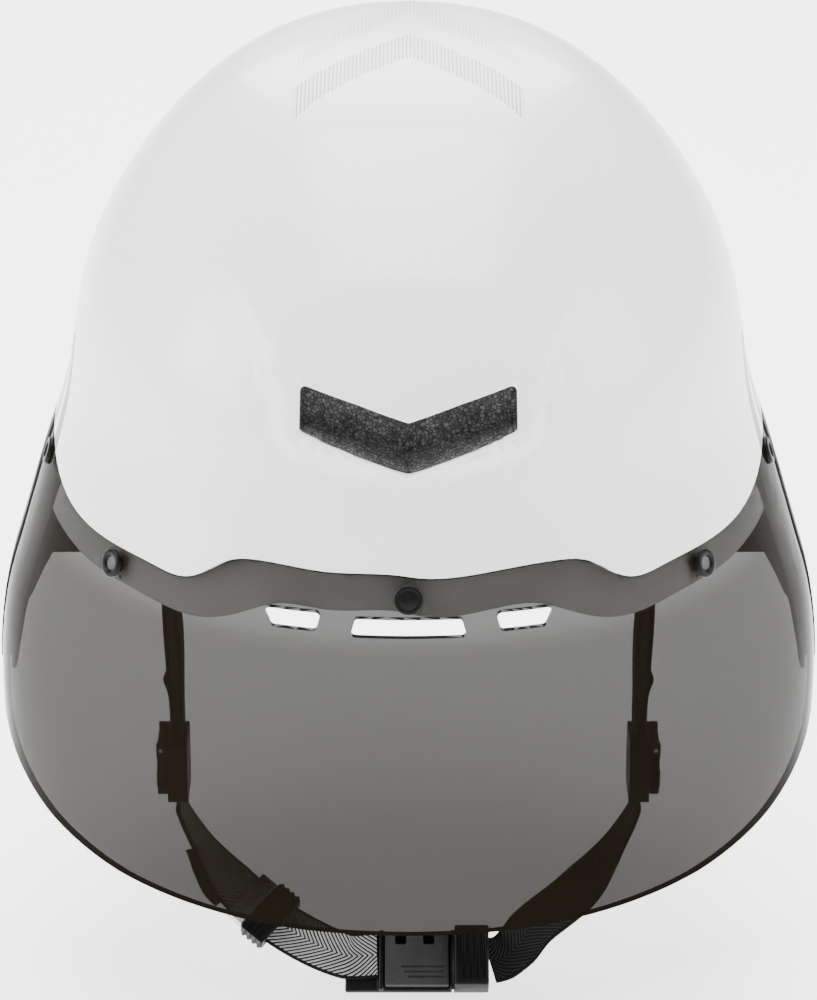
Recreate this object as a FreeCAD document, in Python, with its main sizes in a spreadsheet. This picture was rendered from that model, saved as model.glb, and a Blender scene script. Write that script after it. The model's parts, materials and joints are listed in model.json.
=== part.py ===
"""Time-trial cycling helmet: in-moulded two-part shell, foam liner, magnetic visor,
dial fit system, webbing straps and magnetic buckle.

Frame: millimetres, +Z up, front of the helmet towards -Y. Left and right in the names
are as seen from the front: left is towards -X, which is the wearer's right.
The origin is the centre of the head opening, level with the middle of the brow rim.
Every outer surface (shell, ear flaps, visor) is cut from one aerodynamic form, so all of
them follow when an overall size changes.
"""
import FreeCAD
import Part
import Sketcher
import math
import os

from FreeCAD import Placement, Rotation, Vector

DOC = FreeCAD.newDocument("Helmet")
SHEET = DOC.addObject("Spreadsheet::Sheet", "Sizes")

SIZES = [
    # overall form
    ("crown_height", 128.0, "crown above the brow rim"),
    ("temple_height", 30.0, "height where the dome is full"),
    ("half_width", 102.5, "half width of the dome"),
    ("front_reach", 122.0, "dome's reach forward of the origin"),
    ("rear_reach", 155.0, "dome's reach behind the origin"),
    ("crown_shift", 17.0, "crown behind the origin"),
    ("front_squareness", 2.15, "superellipse exponent of the front half"),
    ("rear_squareness", 2.0, "superellipse exponent of the rear half"),
    # flares of the lower form, against the dome
    ("brow_level", 10.0, "height of the brow section"),
    ("brow_flare", 9.5, "extra half width at the brow"),
    ("brow_advance", 8.0, "extra front reach at the brow"),
    ("cheek_level", -22.0, "height of the cheek section"),
    ("cheek_flare", 18.5, "extra half width at the cheek"),
    ("cheek_advance", 15.0, "extra front reach at the cheek"),
    ("cheek_tuck", 6.0, "rear reach lost at the cheek"),
    ("flap_level", -55.0, "height of the flap section"),
    ("flap_flare", 29.5, "extra half width at the flap"),
    ("flap_advance", 19.0, "extra front reach at the flap"),
    ("flap_tuck", 12.0, "rear reach lost at the flap"),
    ("skirt_level", -105.0, "lowest section of the form"),
    ("skirt_flare", 24.5, "extra half width at the skirt"),
    ("skirt_advance", 21.0, "extra front reach at the skirt"),
    ("skirt_tuck", 20.0, "rear reach lost at the skirt"),
    # walls
    ("shell_wall", 1.2, "outer shell and flap wall"),
    ("bond_gap", 0.25, "glue line between shell and foam"),
    ("seam_gap", 0.4, "seam between the two shells"),
    ("visor_recess", 3.3, "depth of the visor's seat in the form"),
    ("visor_sink", 0.4, "visor's outer face below the form"),
    ("visor_wall", 2.2, "lens thickness"),
    ("visor_gap", 0.6, "gap round the lens's edge"),
    ("liner_side", 20.5, "dome half width less cavity half width"),
    ("liner_front", 19.0, "dome front less cavity front"),
    ("liner_rear", 49.0, "dome rear less cavity rear"),
    ("liner_crown", 27.0, "dome crown less cavity crown"),
    ("cavity_flare", 0.45, "share of the form's flare that the head cavity takes"),
    ("pad_thickness", 6.0, "comfort pads"),
    ("pad_gap", 0.3, "pads to foam"),
    # outlines, as heights round the form
    ("edge_height", 11.5, "shell edge over the brow, at the middle"),
    ("edge_step", 8.6, "shell edge drops beside the brow"),
    ("edge_side", 16.0, "shell edge at the sides and back"),
    ("rim_step", 7.6, "brow rim drops beside the middle"),
    ("hem_height", -96.5, "visor hem at the middle"),
    ("hem_rise", 26.0, "visor hem rises by this at the side"),
    ("flap_bottom", -65.0, "lower edge of the ear flaps"),
    ("nape_bottom", -28.0, "lower edge of the shell at the nape"),
    ("flap_front", -38.0, "front edge of the ear flaps"),
    ("ear_end", 36.0, "rear end of the flap's lower edge"),
    ("foam_front", -56.0, "front edge of the foam's ear block"),
    ("foam_bottom", -26.0, "lower edge of the foam"),
    ("visor_rear", -14.0, "rear edge of the visor"),
    # front vent
    ("vent_half_width", 30.0, "half width of the front vent"),
    ("vent_height", 12.4, "height of the vent's band"),
    ("vent_drop", 10.6, "drop of the vent's V at the middle"),
    ("vent_level", 41.8, "lowest point of the vent"),
    ("vent_draft", 3.0, "how much the vent's mouth opens outwards"),
    ("vent_lip", 3.2, "shell left round the vent on its hood"),
    ("vent_depth", 13.0, "depth of the vent from the hood's face"),
    ("hood_top", 96.0, "height where the hood fades out"),
    ("hood_tip", 3.4, "tilt of the hood off the form, degrees"),
    ("hood_depth", 70.0, "hood's extent along Y"),
    ("hood_draft", 0.4, "slope of the hood's sides"),
    ("exhaust_width", 26.0, "rear vent"),
    ("exhaust_height", 13.0, "rear vent"),
    ("exhaust_offset", 34.0, "side rear vents from the middle one"),
    ("exhaust_level", 52.0, "height of the rear vents"),
    ("exhaust_depth", 20.0, "depth of the rear vents"),
    # visor slots
    ("slot_top", 0.3, "top of the side slots"),
    ("slot_height", 5.2, "height of the visor's air slots"),
    ("slot_half_width", 16.6, "half width of the middle slot"),
    ("slot_gap", 9.6, "lens between the middle and side slots"),
    ("slot_side_width", 16.6, "width of a side slot"),
    # magnet buttons
    ("button_radius", 4.2, "visor button"),
    ("button_proud", 1.3, "button's height above the lens"),
    ("stem_radius", 2.6, "button's stem in the lens"),
    ("magnet_radius", 1.9, "magnet in the stem"),
    ("magnet_height", 1.2, "magnet thickness"),
    ("keeper_radius", 3.4, "steel disc in the helmet's rim"),
    ("keeper_height", 0.8, "steel disc thickness"),
    ("running_gap", 0.05, "radial clearance of turning fits"),
    ("front_button_z", 5.1, "front button's height"),
    ("front_side_z", -0.4, "front side buttons' height"),
    ("front_button_angle", 47.5, "front side buttons, degrees from the front"),
    ("side_button_y", -25.0, "side button's place along Y"),
    ("side_button_z", 9.2, "side button's height"),
    # fit system
    ("fit_slope", 24.5, "tilt of the fit system, degrees"),
    ("fit_front_y", -36.0, "temple anchor along Y"),
    ("fit_front_z", 12.0, "temple anchor's height"),
    ("band_inset", 8.0, "temple band inside the cavity wall"),
    ("band_wall", 1.6, "temple band thickness"),
    ("band_height", 11.0, "temple band height"),
    ("band_length", 66.0, "temple band behind its anchor"),
    ("anchor_radius", 3.4, "temple anchor stud"),
    ("cradle_gap", 2.0, "band to cradle"),
    ("cradle_wall", 2.0, "cradle thickness"),
    ("cradle_height", 13.0, "cradle height"),
    ("cradle_start", 34.0, "cradle's front end behind the anchor"),
    ("rear_pad_wall", 4.0, "cradle pads"),
    ("nape_width", 76.0, "nape plate"),
    ("nape_height", 34.0, "nape plate"),
    ("nape_wall", 2.2, "nape plate"),
    ("housing_width", 46.0, "dial housing"),
    ("housing_height", 25.0, "dial housing"),
    ("housing_depth", 10.0, "dial housing"),
    ("housing_wall", 1.8, "dial housing wall"),
    ("housing_corner", 6.0, "dial housing corners"),
    ("dial_radius", 13.5, "fit dial"),
    ("dial_height", 8.0, "fit dial"),
    ("dial_dish", 9.0, "dished face of the dial"),
    ("dial_gap", 0.4, "dial to housing"),
    ("dial_grips", 18, "grooves round the dial"),
    ("grip_radius", 1.3, "groove round the dial"),
    ("axle_radius", 2.5, "dial axle"),
    ("pinion_root", 4.4, "pinion's root radius"),
    ("pinion_teeth", 10, "pinion teeth"),
    ("tooth_reach", 1.3, "tooth height"),
    ("tooth_width", 1.2, "tooth width"),
    ("pinion_height", 3.6, "pinion"),
    ("rack_length", 22.0, "rack strip"),
    ("rack_bar", 2.2, "rack strip height"),
    ("rack_gap", 0.35, "pinion's tips to the rack bar"),
    ("rack_shift", 6.0, "rack's middle at rest, from the pinion"),
    ("rack_teeth", 6, "teeth on each rack"),
    ("rack_tooth", 1.2, "rack tooth along the rack"),
    ("mesh_pitch", 5.2, "pitch radius where the teeth mesh"),
    ("pad_span_start", 52.0, "cradle pads behind the cradle's front end"),
    ("pad_span_end", 88.0, "rear end of the cradle pads"),
    # straps
    ("strap_width", 15.0, "webbing width"),
    ("strap_wall", 1.4, "webbing thickness"),
    ("strap_gap", 0.4, "webbing to its fittings"),
    ("strap_side", 74.0, "dividers from the middle"),
    ("divider_y", -6.0, "divider along Y"),
    ("divider_z", -106.0, "divider's middle"),
    ("divider_height", 22.0, "divider along Z"),
    ("divider_depth", 20.0, "divider along Y"),
    ("divider_wall", 6.4, "divider across X"),
    ("divider_slot", 2.6, "webbing slot in the divider"),
    ("divider_corner", 3.5, "divider's corners"),
    ("lever_length", 19.0, "cam lever"),
    ("lever_depth", 13.0, "cam lever"),
    ("lever_wall", 3.0, "cam lever"),
    ("lever_gap", 0.4, "cam lever to divider"),
    ("pin_radius", 0.75, "lever pin"),
    ("ear_wall", 2.0, "divider's hinge ears"),
    ("ear_height", 4.4, "divider's hinge ears"),
    ("buckle_x", 2.7, "buckle's middle along X"),
    ("buckle_y", -35.0, "buckle along Y"),
    ("buckle_z", -163.0, "buckle's height"),
    ("buckle_tilt", 42.0, "tilt of the buckle, degrees"),
    ("buckle_length", 46.0, "buckle along the strap"),
    ("buckle_width", 20.0, "buckle across the strap"),
    ("buckle_floor", 2.4, "buckle base plate"),
    ("buckle_block", 11.0, "buckle's strap block along the strap"),
    ("buckle_tall", 7.0, "buckle's strap block off the base"),
    ("rib_wall", 1.8, "ribs that catch the tongue"),
    ("rib_tall", 2.2, "ribs that catch the tongue"),
    ("tongue_length", 20.5, "buckle tongue plate"),
    ("tongue_wall", 2.6, "buckle tongue plate"),
    ("tongue_gap", 0.25, "tongue to ribs and base"),
    ("tongue_notch", 3.2, "notches in the tongue's edge"),
    ("buckle_magnet", 3.0, "buckle magnets' radius"),
    ("buckle_magnet_wall", 1.4, "buckle magnets' thickness"),
    ("keeper_length", 6.0, "metal strap keeper along the strap"),
    ("keeper_wall", 1.0, "metal strap keeper"),
    ("glide_length", 9.0, "ribbed strap slider along the strap"),
    ("glide_wall", 1.8, "ribbed strap slider"),
]

for row, (alias, value, note) in enumerate(SIZES, start=1):
    SHEET.set(f"A{row}", alias)
    SHEET.set(f"B{row}", str(value))
    SHEET.set(f"C{row}", note)
    SHEET.setAlias(f"B{row}", alias)
DOC.recompute()

NODES = []
X_AXIS = Vector(1, 0, 0)
Y_AXIS = Vector(0, 1, 0)
Z_AXIS = Vector(0, 0, 1)
FAR = 400.0


def size(alias):
    """A driving dimension, read back from the spreadsheet."""
    return float(SHEET.get(alias))


# ---------------------------------------------------------------- documents objects

def keep(node, label=None):
    """Count an object as a finished sub-part, exported under its label."""
    if label:
        node.Label = label
    NODES.append(node)
    return node


def feature(label, shape, placement=None):
    """A freeform sub-part whose shape is worked out by code."""
    node = DOC.addObject("Part::Feature", label)
    node.Shape = shape
    if placement:
        node.Placement = placement
    return keep(node, label)


def cell(alias):
    """The expression that reads one cell of the sheet."""
    return f"Sizes.{alias}"


def new_body(label):
    body = DOC.addObject("PartDesign::Body", label)
    return keep(body, label)


def sketch_on(body, role, name):
    """A sketch on one of the body's own origin planes."""
    plane = next(item for item in body.Origin.OriginFeatures if item.Role == role)
    sketch = body.newObject("Sketcher::SketchObject", name)
    sketch.AttachmentSupport = [(plane, "")]
    sketch.MapMode = "FlatFace"
    return sketch


def bind(sketch, constraint, expression):
    """Add a sketch constraint whose value follows an expression."""
    index = sketch.addConstraint(constraint)
    sketch.setExpression(f"Constraints[{index}]", expression)


def circle(sketch, radius, across="0", up="0"):
    """A circle with its centre to the right of and above the sketch's origin."""
    ring_id = sketch.addGeometry(Part.Circle(Vector(1, 1, 0), Z_AXIS, 1), False)
    bind(sketch, Sketcher.Constraint("Radius", ring_id, 1.0), radius)
    for kind, value in (("DistanceX", across), ("DistanceY", up)):
        if value == "0":
            target = -2 if kind == "DistanceX" else -1
            sketch.addConstraint(Sketcher.Constraint("PointOnObject", ring_id, 3, target))
        else:
            bind(sketch, Sketcher.Constraint(kind, -1, 1, ring_id, 3, 1.0), value)


def rectangle(sketch, width, height):
    """A rectangle centred on the sketch's origin."""
    corners = [Vector(-5, -4, 0), Vector(5, -4, 0), Vector(5, 4, 0), Vector(-5, 4, 0)]
    for start, end in zip(corners, corners[1:] + corners[:1]):
        sketch.addGeometry(Part.LineSegment(start, end), False)
    for side in range(4):
        sketch.addConstraint(Sketcher.Constraint("Coincident", side, 2, (side + 1) % 4, 1))
    for side, kind in enumerate(("Horizontal", "Vertical", "Horizontal", "Vertical")):
        sketch.addConstraint(Sketcher.Constraint(kind, side))
    sketch.addConstraint(Sketcher.Constraint("Symmetric", 0, 1, 2, 1, -1, 1))
    bind(sketch, Sketcher.Constraint("DistanceX", 0, 1, 0, 2, 10.0), width)
    bind(sketch, Sketcher.Constraint("DistanceY", 1, 1, 1, 2, 8.0), height)


def pad(body, sketch, name, length, symmetric=False):
    item = body.newObject("PartDesign::Pad", name)
    item.Profile = sketch
    item.SideType = "Symmetric" if symmetric else "One side"
    item.setExpression("Length", length)
    DOC.recompute()
    return item


def pocket(body, sketch, name, length, symmetric=True):
    """Cut a sketch out of the body, to both sides of its plane or down from it."""
    before = body.Shape.Volume
    item = body.newObject("PartDesign::Pocket", name)
    item.Profile = sketch
    item.SideType = "Symmetric" if symmetric else "One side"
    item.setExpression("Length", length)
    DOC.recompute()
    if body.Shape.Volume >= before:
        raise RuntimeError(f"{name} cuts nothing")
    return item


def pattern(body, original, sketch, name, count):
    """Repeat a feature round the sketch's normal."""
    item = body.newObject("PartDesign::PolarPattern", name)
    item.Originals = [original]
    item.Axis = (sketch, ["N_Axis"])
    item.Angle = 360
    item.setExpression("Occurrences", count)
    body.Tip = item
    DOC.recompute()
    return item


def row_of(body, original, sketch, name, length, count):
    """Repeat a feature along the sketch's horizontal direction."""
    item = body.newObject("PartDesign::LinearPattern", name)
    item.Originals = [original]
    item.Direction = (sketch, ["H_Axis"])
    item.Length = length
    item.setExpression("Occurrences", count)
    body.Tip = item
    DOC.recompute()
    return item


def fillet(body, base, name, radius, chosen):
    """Round the edges of the last feature that a test chooses."""
    names = [f"Edge{i}" for i, edge in enumerate(base.Shape.Edges, start=1) if chosen(edge)]
    item = body.newObject("PartDesign::Fillet", name)
    item.Base = (base, names)
    item.setExpression("Radius", radius)
    DOC.recompute()
    return item


def upright(edge):
    """True for a straight edge along Z."""
    tangent = edge.tangentAt(edge.FirstParameter)
    return edge.Curve.TypeId == "Part::GeomLine" and abs(tangent.z) > 0.99


# ---------------------------------------------------------------- outlines

def rounded(points, radius):
    """A closed flat wire through the points, with every corner turned by an arc."""
    edges = []
    previous = None
    first = None
    count = len(points)
    for index, corner in enumerate(points):
        before = (points[index - 1] - corner)
        after = (points[(index + 1) % count] - corner)
        half_turn = before.getAngle(after) / 2
        reach = min(radius / math.tan(half_turn), 0.45 * before.Length, 0.45 * after.Length)
        arc_radius = reach * math.tan(half_turn)
        start = corner + before.normalize() * reach
        end = corner + after.normalize() * reach
        inwards = (before + after).normalize()
        middle = corner + inwards * (arc_radius / math.sin(half_turn) - arc_radius)
        if previous:
            edges.append(Part.LineSegment(previous, start).toShape())
        else:
            first = start
        edges.append(Part.Arc(start, middle, end).toShape())
        previous = end
    edges.append(Part.LineSegment(previous, first).toShape())
    return Part.Wire(edges)


def prism(wire, direction):
    """A solid from a flat wire, drawn out along a vector."""
    return Part.Face(wire).extrude(direction)


def side_prism(outline, radius):
    """An outline in the side view, (y, z), drawn right through the helmet."""
    wire = rounded([Vector(-FAR / 2, y, z) for y, z in outline], radius)
    return prism(wire, X_AXIS * FAR)


def front_prism(outline, radius, near=-FAR, far=0.0):
    """An outline in the front view, (x, z), drawn back from in front of the helmet."""
    wire = rounded([Vector(x, near, z) for x, z in outline], radius)
    return prism(wire, Y_AXIS * (far - near))


def box(x_range, y_range, z_range):
    """A plain block between six planes, for cutting."""
    lengths = [high - low for low, high in (x_range, y_range, z_range)]
    return Part.makeBox(*lengths, Vector(x_range[0], y_range[0], z_range[0]))


# ---------------------------------------------------------------- the form

RING_POINTS = 24
RING_SCALE = 3 / (2 + math.cos(2 * math.pi / RING_POINTS))
DOME = [(0.0, 1.0), (0.31, 1.0), (0.52, 0.955), (0.80, 0.69), (0.985, 0.36), (1.01, 0.0)]
ROUND_POWER = 2.0


def ring(half_width, front, rear, front_power, rear_power, height, shift):
    """Control points of one level section: two half superellipses, meeting at the sides."""
    points = []
    for index in range(RING_POINTS):
        angle = 2 * math.pi * index / RING_POINTS
        across, ahead = math.sin(angle), math.cos(angle)
        power = front_power if ahead > 0 else rear_power
        reach = (abs(across) ** power + abs(ahead) ** power) ** (-1 / power)
        along = -front if ahead > 0 else -rear
        points.append(Vector(RING_SCALE * half_width * across * reach,
                             shift + RING_SCALE * along * ahead * reach, height))
    return points


def section_sizes(cavity):
    """Half width, front, rear and crown of the form, or of the head cavity."""
    trim = [size(name) if cavity else 0.0
            for name in ("liner_side", "liner_front", "liner_rear", "liner_crown")]
    full = [size(name) for name in ("half_width", "front_reach", "rear_reach", "crown_height")]
    return [outer - less for outer, less in zip(full, trim)]


def low_sections(cavity):
    """Height and the extra half width, front and rear of each section under the dome."""
    share = size("cavity_flare") if cavity else 1.0
    sections = [
        ("brow_level", "brow_flare", "brow_advance", None),
        ("cheek_level", "cheek_flare", "cheek_advance", "cheek_tuck"),
        ("flap_level", "flap_flare", "flap_advance", "flap_tuck"),
        ("skirt_level", "skirt_flare", "skirt_advance", "skirt_tuck"),
    ]
    return [(size(level), share * size(flare), share * size(advance),
             size(tuck) if tuck and not cavity else 0.0)
            for level, flare, advance, tuck in sections]


def form_surface(inset, cavity=False):
    """The aerodynamic form as one smooth surface, moved inwards by a wall."""
    half_width, front, rear, crown = section_sizes(cavity)
    half_width, front, rear, crown = [value - inset for value in (half_width, front, rear, crown)]
    base = size("temple_height")
    rows = []
    for reach, rise in DOME:
        rows.append(ring(half_width * reach, front * reach, rear * reach,
                         ROUND_POWER + (size("front_squareness") - ROUND_POWER) * reach,
                         ROUND_POWER + (size("rear_squareness") - ROUND_POWER) * reach,
                         base + (crown - base) * rise, size("crown_shift") * (1 - reach)))
    for height, flare, advance, tuck in low_sections(cavity):
        rows.append(ring(half_width + flare, front + advance, rear - tuck,
                         size("front_squareness"), size("rear_squareness"), height, 0.0))
    poles = [list(column) for column in zip(*rows)]
    around = list(range(RING_POINTS + 1))
    down = list(range(len(rows) - 2))
    surface = Part.BSplineSurface()
    surface.buildFromPolesMultsKnots(poles, [1] * len(around), [4] + [1] * (len(down) - 2) + [4],
                                     around, down, True, False, 3, 3)
    return surface


def form(inset, cavity=False):
    """The form as a closed solid, flat underneath."""
    face = form_surface(inset, cavity).toShape()
    level = size("skirt_level")
    rim = [edge for edge in face.Edges
           if abs(edge.BoundBox.ZMax - level) < 1e-3 and edge.Length > 1]
    skin = Part.makeShell([face, Part.Face(Part.Wire(rim))])
    skin.sewShape()
    return Part.Solid(skin)


class Locator:
    """Finds points and outward directions on the form, by angle and height."""

    def __init__(self, inset, cavity=False):
        self.surface = form_surface(inset, cavity)
        self.front = min(range(RING_POINTS), key=lambda knot: self.surface.value(knot, 4.0).y)
        self.last = self.surface.bounds()[3]

    def knots(self, angle, height):
        """Surface parameters at an angle from the front, towards +X, and a height."""
        around = (self.front + RING_POINTS * angle / 360) % RING_POINTS
        low, high = 0.0, self.last
        for _ in range(50):
            middle = (low + high) / 2
            if self.surface.value(around, middle).z > height:
                low = middle
            else:
                high = middle
        return around, low

    def point(self, angle, height):
        return self.surface.value(*self.knots(angle, height))

    def outward(self, angle, height):
        """Unit normal, pointing away from the head."""
        spot = self.point(angle, height)
        normal = self.surface.normal(*self.knots(angle, height))
        return normal if normal.dot(Vector(spot.x, spot.y, 0)) > 0 else -normal

    def angle_at(self, along, height, low=0.0, high=180.0):
        """Angle at which the form passes a place along Y."""
        for _ in range(50):
            middle = (low + high) / 2
            if self.point(middle, height).y < along:
                low = middle
            else:
                high = middle
        return low


def below(levels, drop=0.0):
    """Everything under a line round the form, given as (angle, height) from front to back."""
    mirrored = [(-angle, height) for angle, height in reversed(levels) if 0 < angle < 180]
    around = levels + [(360 + angle, height) for angle, height in mirrored]
    curves = []
    for scale in (0.05, 3.0):
        points = []
        for angle, height in around:
            ahead = math.cos(math.radians(angle))
            reach = size("front_reach") if ahead > 0 else size("rear_reach")
            points.append(Vector(scale * size("half_width") * math.sin(math.radians(angle)),
                                 -scale * reach * ahead, height - drop))
        curve = Part.BSplineCurve()
        steps = [float(angle) for angle, _ in around] + [360.0]
        curve.interpolate(Points=points, PeriodicFlag=True, Parameters=steps)
        curves.append(curve.toShape())
    return Part.makeRuledSurface(*curves).extrude(Z_AXIS * -FAR)


def shell_edge():
    """Lower edge of the white shell: level over the brow, stepped down beside it."""
    top = size("edge_height")
    low = top - size("edge_step") + 1.4
    side = size("edge_side")
    return [(0, top), (12, top + 0.5), (23, top + 1.5), (28, top - 0.6), (33, low + 0.6), (40, low),
            (50, low + 0.9), (60, low + 2.4), (70, low + 6.4), (80, side - 1.2), (95, side),
            (120, side - 2), (150, side - 16), (180, side - 24)]


def rim_line():
    """Lower edge of the brow rim, stepped down under the shell's step."""
    low = -size("rim_step")
    return [(0, 0.0), (12, 0.2), (20, 0.4), (26, -4.2), (32, low), (42, low + 0.8), (55, low + 1.8),
            (66, low + 3.2), (90, low + 3.6), (130, low + 3.6), (180, low + 3.6)]


# ---------------------------------------------------------------- hood over the front vent

def vent_outline(grow=0.0):
    """The V-shaped band of the front vent, in the front view."""
    half = size("vent_half_width") + grow
    low = size("vent_level") - grow
    high = low + size("vent_height") + 2 * grow
    drop = size("vent_drop")
    return [(-half, high + drop - 1.2), (-half * 0.48, high + 0.46 * drop), (0, high),
            (half * 0.48, high + 0.46 * drop), (half, high + drop - 1.2),
            (half, low + drop - 0.6), (half * 0.5, low + 0.46 * drop), (0, low),
            (-half * 0.5, low + 0.46 * drop), (-half, low + drop - 0.6)]


def hood_outline(grow):
    """Outline of the raised panel that carries the vent."""
    half = size("vent_half_width") + size("vent_lip") + grow
    low = size("vent_level") - size("vent_lip") - grow
    top = size("hood_top")
    drop = size("vent_drop")
    return [(-half - 3, top - 4), (0, top + 2), (half + 3, top - 4), (half, low + drop - 1),
            (0, low), (-half, low + drop - 1)]


def hood(inset):
    """The raised panel: the form, tipped forward about its fading edge, with sloped sides."""
    tipped = form(inset).rotate(LOCATOR.point(0, size("hood_top")), X_AXIS, -size("hood_tip"))
    depth = size("hood_depth")
    middle = LOCATOR.point(0, size("vent_level")).y
    wires = []
    for along in (middle - depth / 3, middle + depth):
        grow = size("hood_draft") * (along - middle) - inset
        wires.append(rounded([Vector(x, along, z) for x, z in hood_outline(grow)], 4.0))
    return tipped.common(Part.makeLoft(wires, True, True))


def outer_form(inset):
    """The form with its hood."""
    return form(inset).fuse(hood(inset))


LOCATOR = Locator(0.0)


# ---------------------------------------------------------------- shells and foam

def side_outline(front, notch, bottom_front, bottom, nape, top):
    """Side view, (y, z), of a piece that hangs down over the ear and round the nape."""
    ear_end = size("ear_end")
    back = size("rear_reach") + 30
    return [(front - notch, top), (front - 1.5, -6.5), (front, -14), (front, bottom + 20),
            (front + bottom_front * 0.3, bottom + 8), (front + bottom_front, bottom),
            (ear_end, bottom), (ear_end + 34, (bottom + nape) / 2 - 4), (ear_end + 68, nape),
            (back, nape), (back, top)]


def build_outer_shell():
    """White upper shell, with the hood, the vent and the rear vents cut through it."""
    shape = outer_form(0.0).cut(below(shell_edge())).cut(outer_form(size("shell_wall")))
    for mouth in vent_mouths():
        shape = shape.cut(mouth)
    return feature("outer_shell", shape)


def vent_mouths():
    """Cutters for the front vent and the three rear vents."""
    face = LOCATOR.point(0, size("vent_level")).y
    draft = size("vent_draft")
    wires = [rounded([Vector(x, face + along, z) for x, z in vent_outline(grow)], 1.6)
             for along, grow in ((-30.0, draft), (size("vent_depth"), 0.0))]
    mouths = [Part.makeLoft(wires, True, True)]
    width, height = size("exhaust_width") / 2, size("exhaust_height") / 2
    level = size("exhaust_level")
    for place in (-1, 0, 1):
        centre = place * size("exhaust_offset")
        lean = 4.0 * place
        outline = [(centre - width - lean, level - height), (centre + width - lean, level - height),
                   (centre + width * 0.8 + lean, level + height),
                   (centre - width * 0.8 + lean, level + height)]
        start = size("rear_reach") - size("exhaust_depth") - abs(place) * 6 - 6
        mouths.append(front_prism(outline, 3.0, start, FAR / 2))
    return mouths


def stepped_form(inset):
    """The form under the white shell: full behind the visor, seated deeper under it."""
    joint = size("visor_rear") + size("visor_gap") + inset
    behind = box((-FAR, FAR), (joint, FAR), (-FAR, FAR))
    return form(inset).common(behind).fuse(form(size("visor_recess") + inset))


def build_lower_shells():
    """White brow rim behind the lens, and the dark ear flaps and nape band in one piece."""
    shape = stepped_form(0.0).common(below(shell_edge(), size("seam_gap")))
    outline = side_outline(size("flap_front"), 9.0, 14.0, size("flap_bottom"),
                           size("nape_bottom"), FAR / 4)
    hanging_piece = side_prism(outline, 7.0)
    shape = shape.cut(below(rim_line()).cut(hanging_piece))
    shape = shape.cut(stepped_form(size("shell_wall")))
    for centre, normal in button_places():
        shape = shape.cut(button_disc(centre, normal, size("keeper_radius") + size("running_gap"),
                                      -size("visor_recess") - size("keeper_height"), 0.0))
    feature("lower_shell", shape.common(hanging_piece))
    seam = hanging_piece.copy()
    seam.translate(Y_AXIS * -size("seam_gap"))
    ahead = box((-FAR, FAR), (-FAR, size("flap_front")), (-FAR, FAR))
    feature("brow_rim", shape.cut(seam).common(ahead))


def build_liner():
    """Foam liner between the shells and the head."""
    gap = size("bond_gap")
    wall = size("shell_wall") + gap
    upper = outer_form(wall).cut(below(shell_edge(), -wall))
    shape = upper.fuse(stepped_form(wall).common(below(shell_edge(), -wall)))
    outline = side_outline(size("foam_front"), 2.0, 10.0, size("foam_bottom"),
                           size("foam_bottom") + 2, FAR / 4)
    shape = shape.cut(below(rim_line(), -1.2).cut(side_prism(outline, 5.0)))
    shape = shape.cut(form(0.0, True))
    for mouth in vent_mouths():
        shape = shape.cut(mouth)
    return feature("foam_liner", shape)


def build_pads():
    """Comfort pads against the inside of the foam."""
    outer = form(size("pad_gap"), True)
    inner = form(size("pad_gap") + size("pad_thickness"), True)
    zones = {
        "brow_pad": box((-72, 72), (-FAR, -60), (9, 34)),
        "crown_pad": box((-24, 24), (-34, 62), (60, FAR)),
        "side_pad_left": box((-FAR, -50), (-38, 22), (24, 48)),
        "side_pad_right": box((50, FAR), (-38, 22), (24, 48)),
    }
    for label, zone in zones.items():
        feature(label, outer.common(zone).cut(inner))


# ---------------------------------------------------------------- visor and its magnets

def button_places():
    """Point and outward direction of the five visor buttons, front first."""
    side = LOCATOR.angle_at(size("side_button_y"), size("side_button_z"))
    front = size("front_button_angle")
    spots = [(0.0, size("front_button_z")), (front, size("front_side_z")),
             (-front, size("front_side_z")), (side, size("side_button_z")),
             (-side, size("side_button_z"))]
    return [(LOCATOR.point(*spot), LOCATOR.outward(*spot)) for spot in spots]


def button_disc(centre, normal, radius, start, end):
    """A disc along a button's axis, between two heights above the form."""
    return Part.makeCylinder(radius, end - start, centre + normal * start, normal)


def build_visor():
    """Smoked lens: a slice of the form, with three air slots and holes for the buttons."""
    shape = form(size("visor_sink")).common(below(shell_edge(), size("visor_gap")))
    front = -size("front_reach") - size("flap_advance") - 20
    hem = size("hem_height")
    span = size("visor_rear") - front
    curve = [(front + span * share, hem + size("hem_rise") * share ** 1.6)
             for share in (0.15, 0.35, 0.55, 0.75)]
    rear = size("visor_rear")
    outline = [(front, hem)] + curve + [(rear - 12, hem + size("hem_rise") * 0.86),
               (rear, hem + size("hem_rise") + 16), (rear, FAR / 4), (front, FAR / 4)]
    shape = shape.common(side_prism(outline, 16.0))
    shape = shape.cut(form(size("visor_sink") + size("visor_wall")))
    for slot in visor_slots():
        shape = shape.cut(slot)
    for centre, normal in button_places():
        radius = size("stem_radius") + size("running_gap")
        shape = shape.cut(button_disc(centre, normal, radius, -size("visor_recess"), 2.0))
    return feature("visor_lens", shape)


def visor_slots():
    """Cutters for the slots: one over the nose, two beside it, with slanted ends."""
    height = size("slot_height")
    half = size("slot_half_width")
    top = size("slot_top")
    start = half + size("slot_gap") - 1.5
    end = start + size("slot_side_width")
    outlines = [[(-half + 1.5, top - 1), (half - 1.5, top - 1), (half, top - 1 - height),
                 (-half, top - 1 - height)]]
    for side in (-1, 1):
        outlines.append([(side * start, top), (side * end, top), (side * (end - 2.5), top - height),
                         (side * (start + 1.5), top - height)])
    return [front_prism(outline, 1.2) for outline in outlines]


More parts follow.
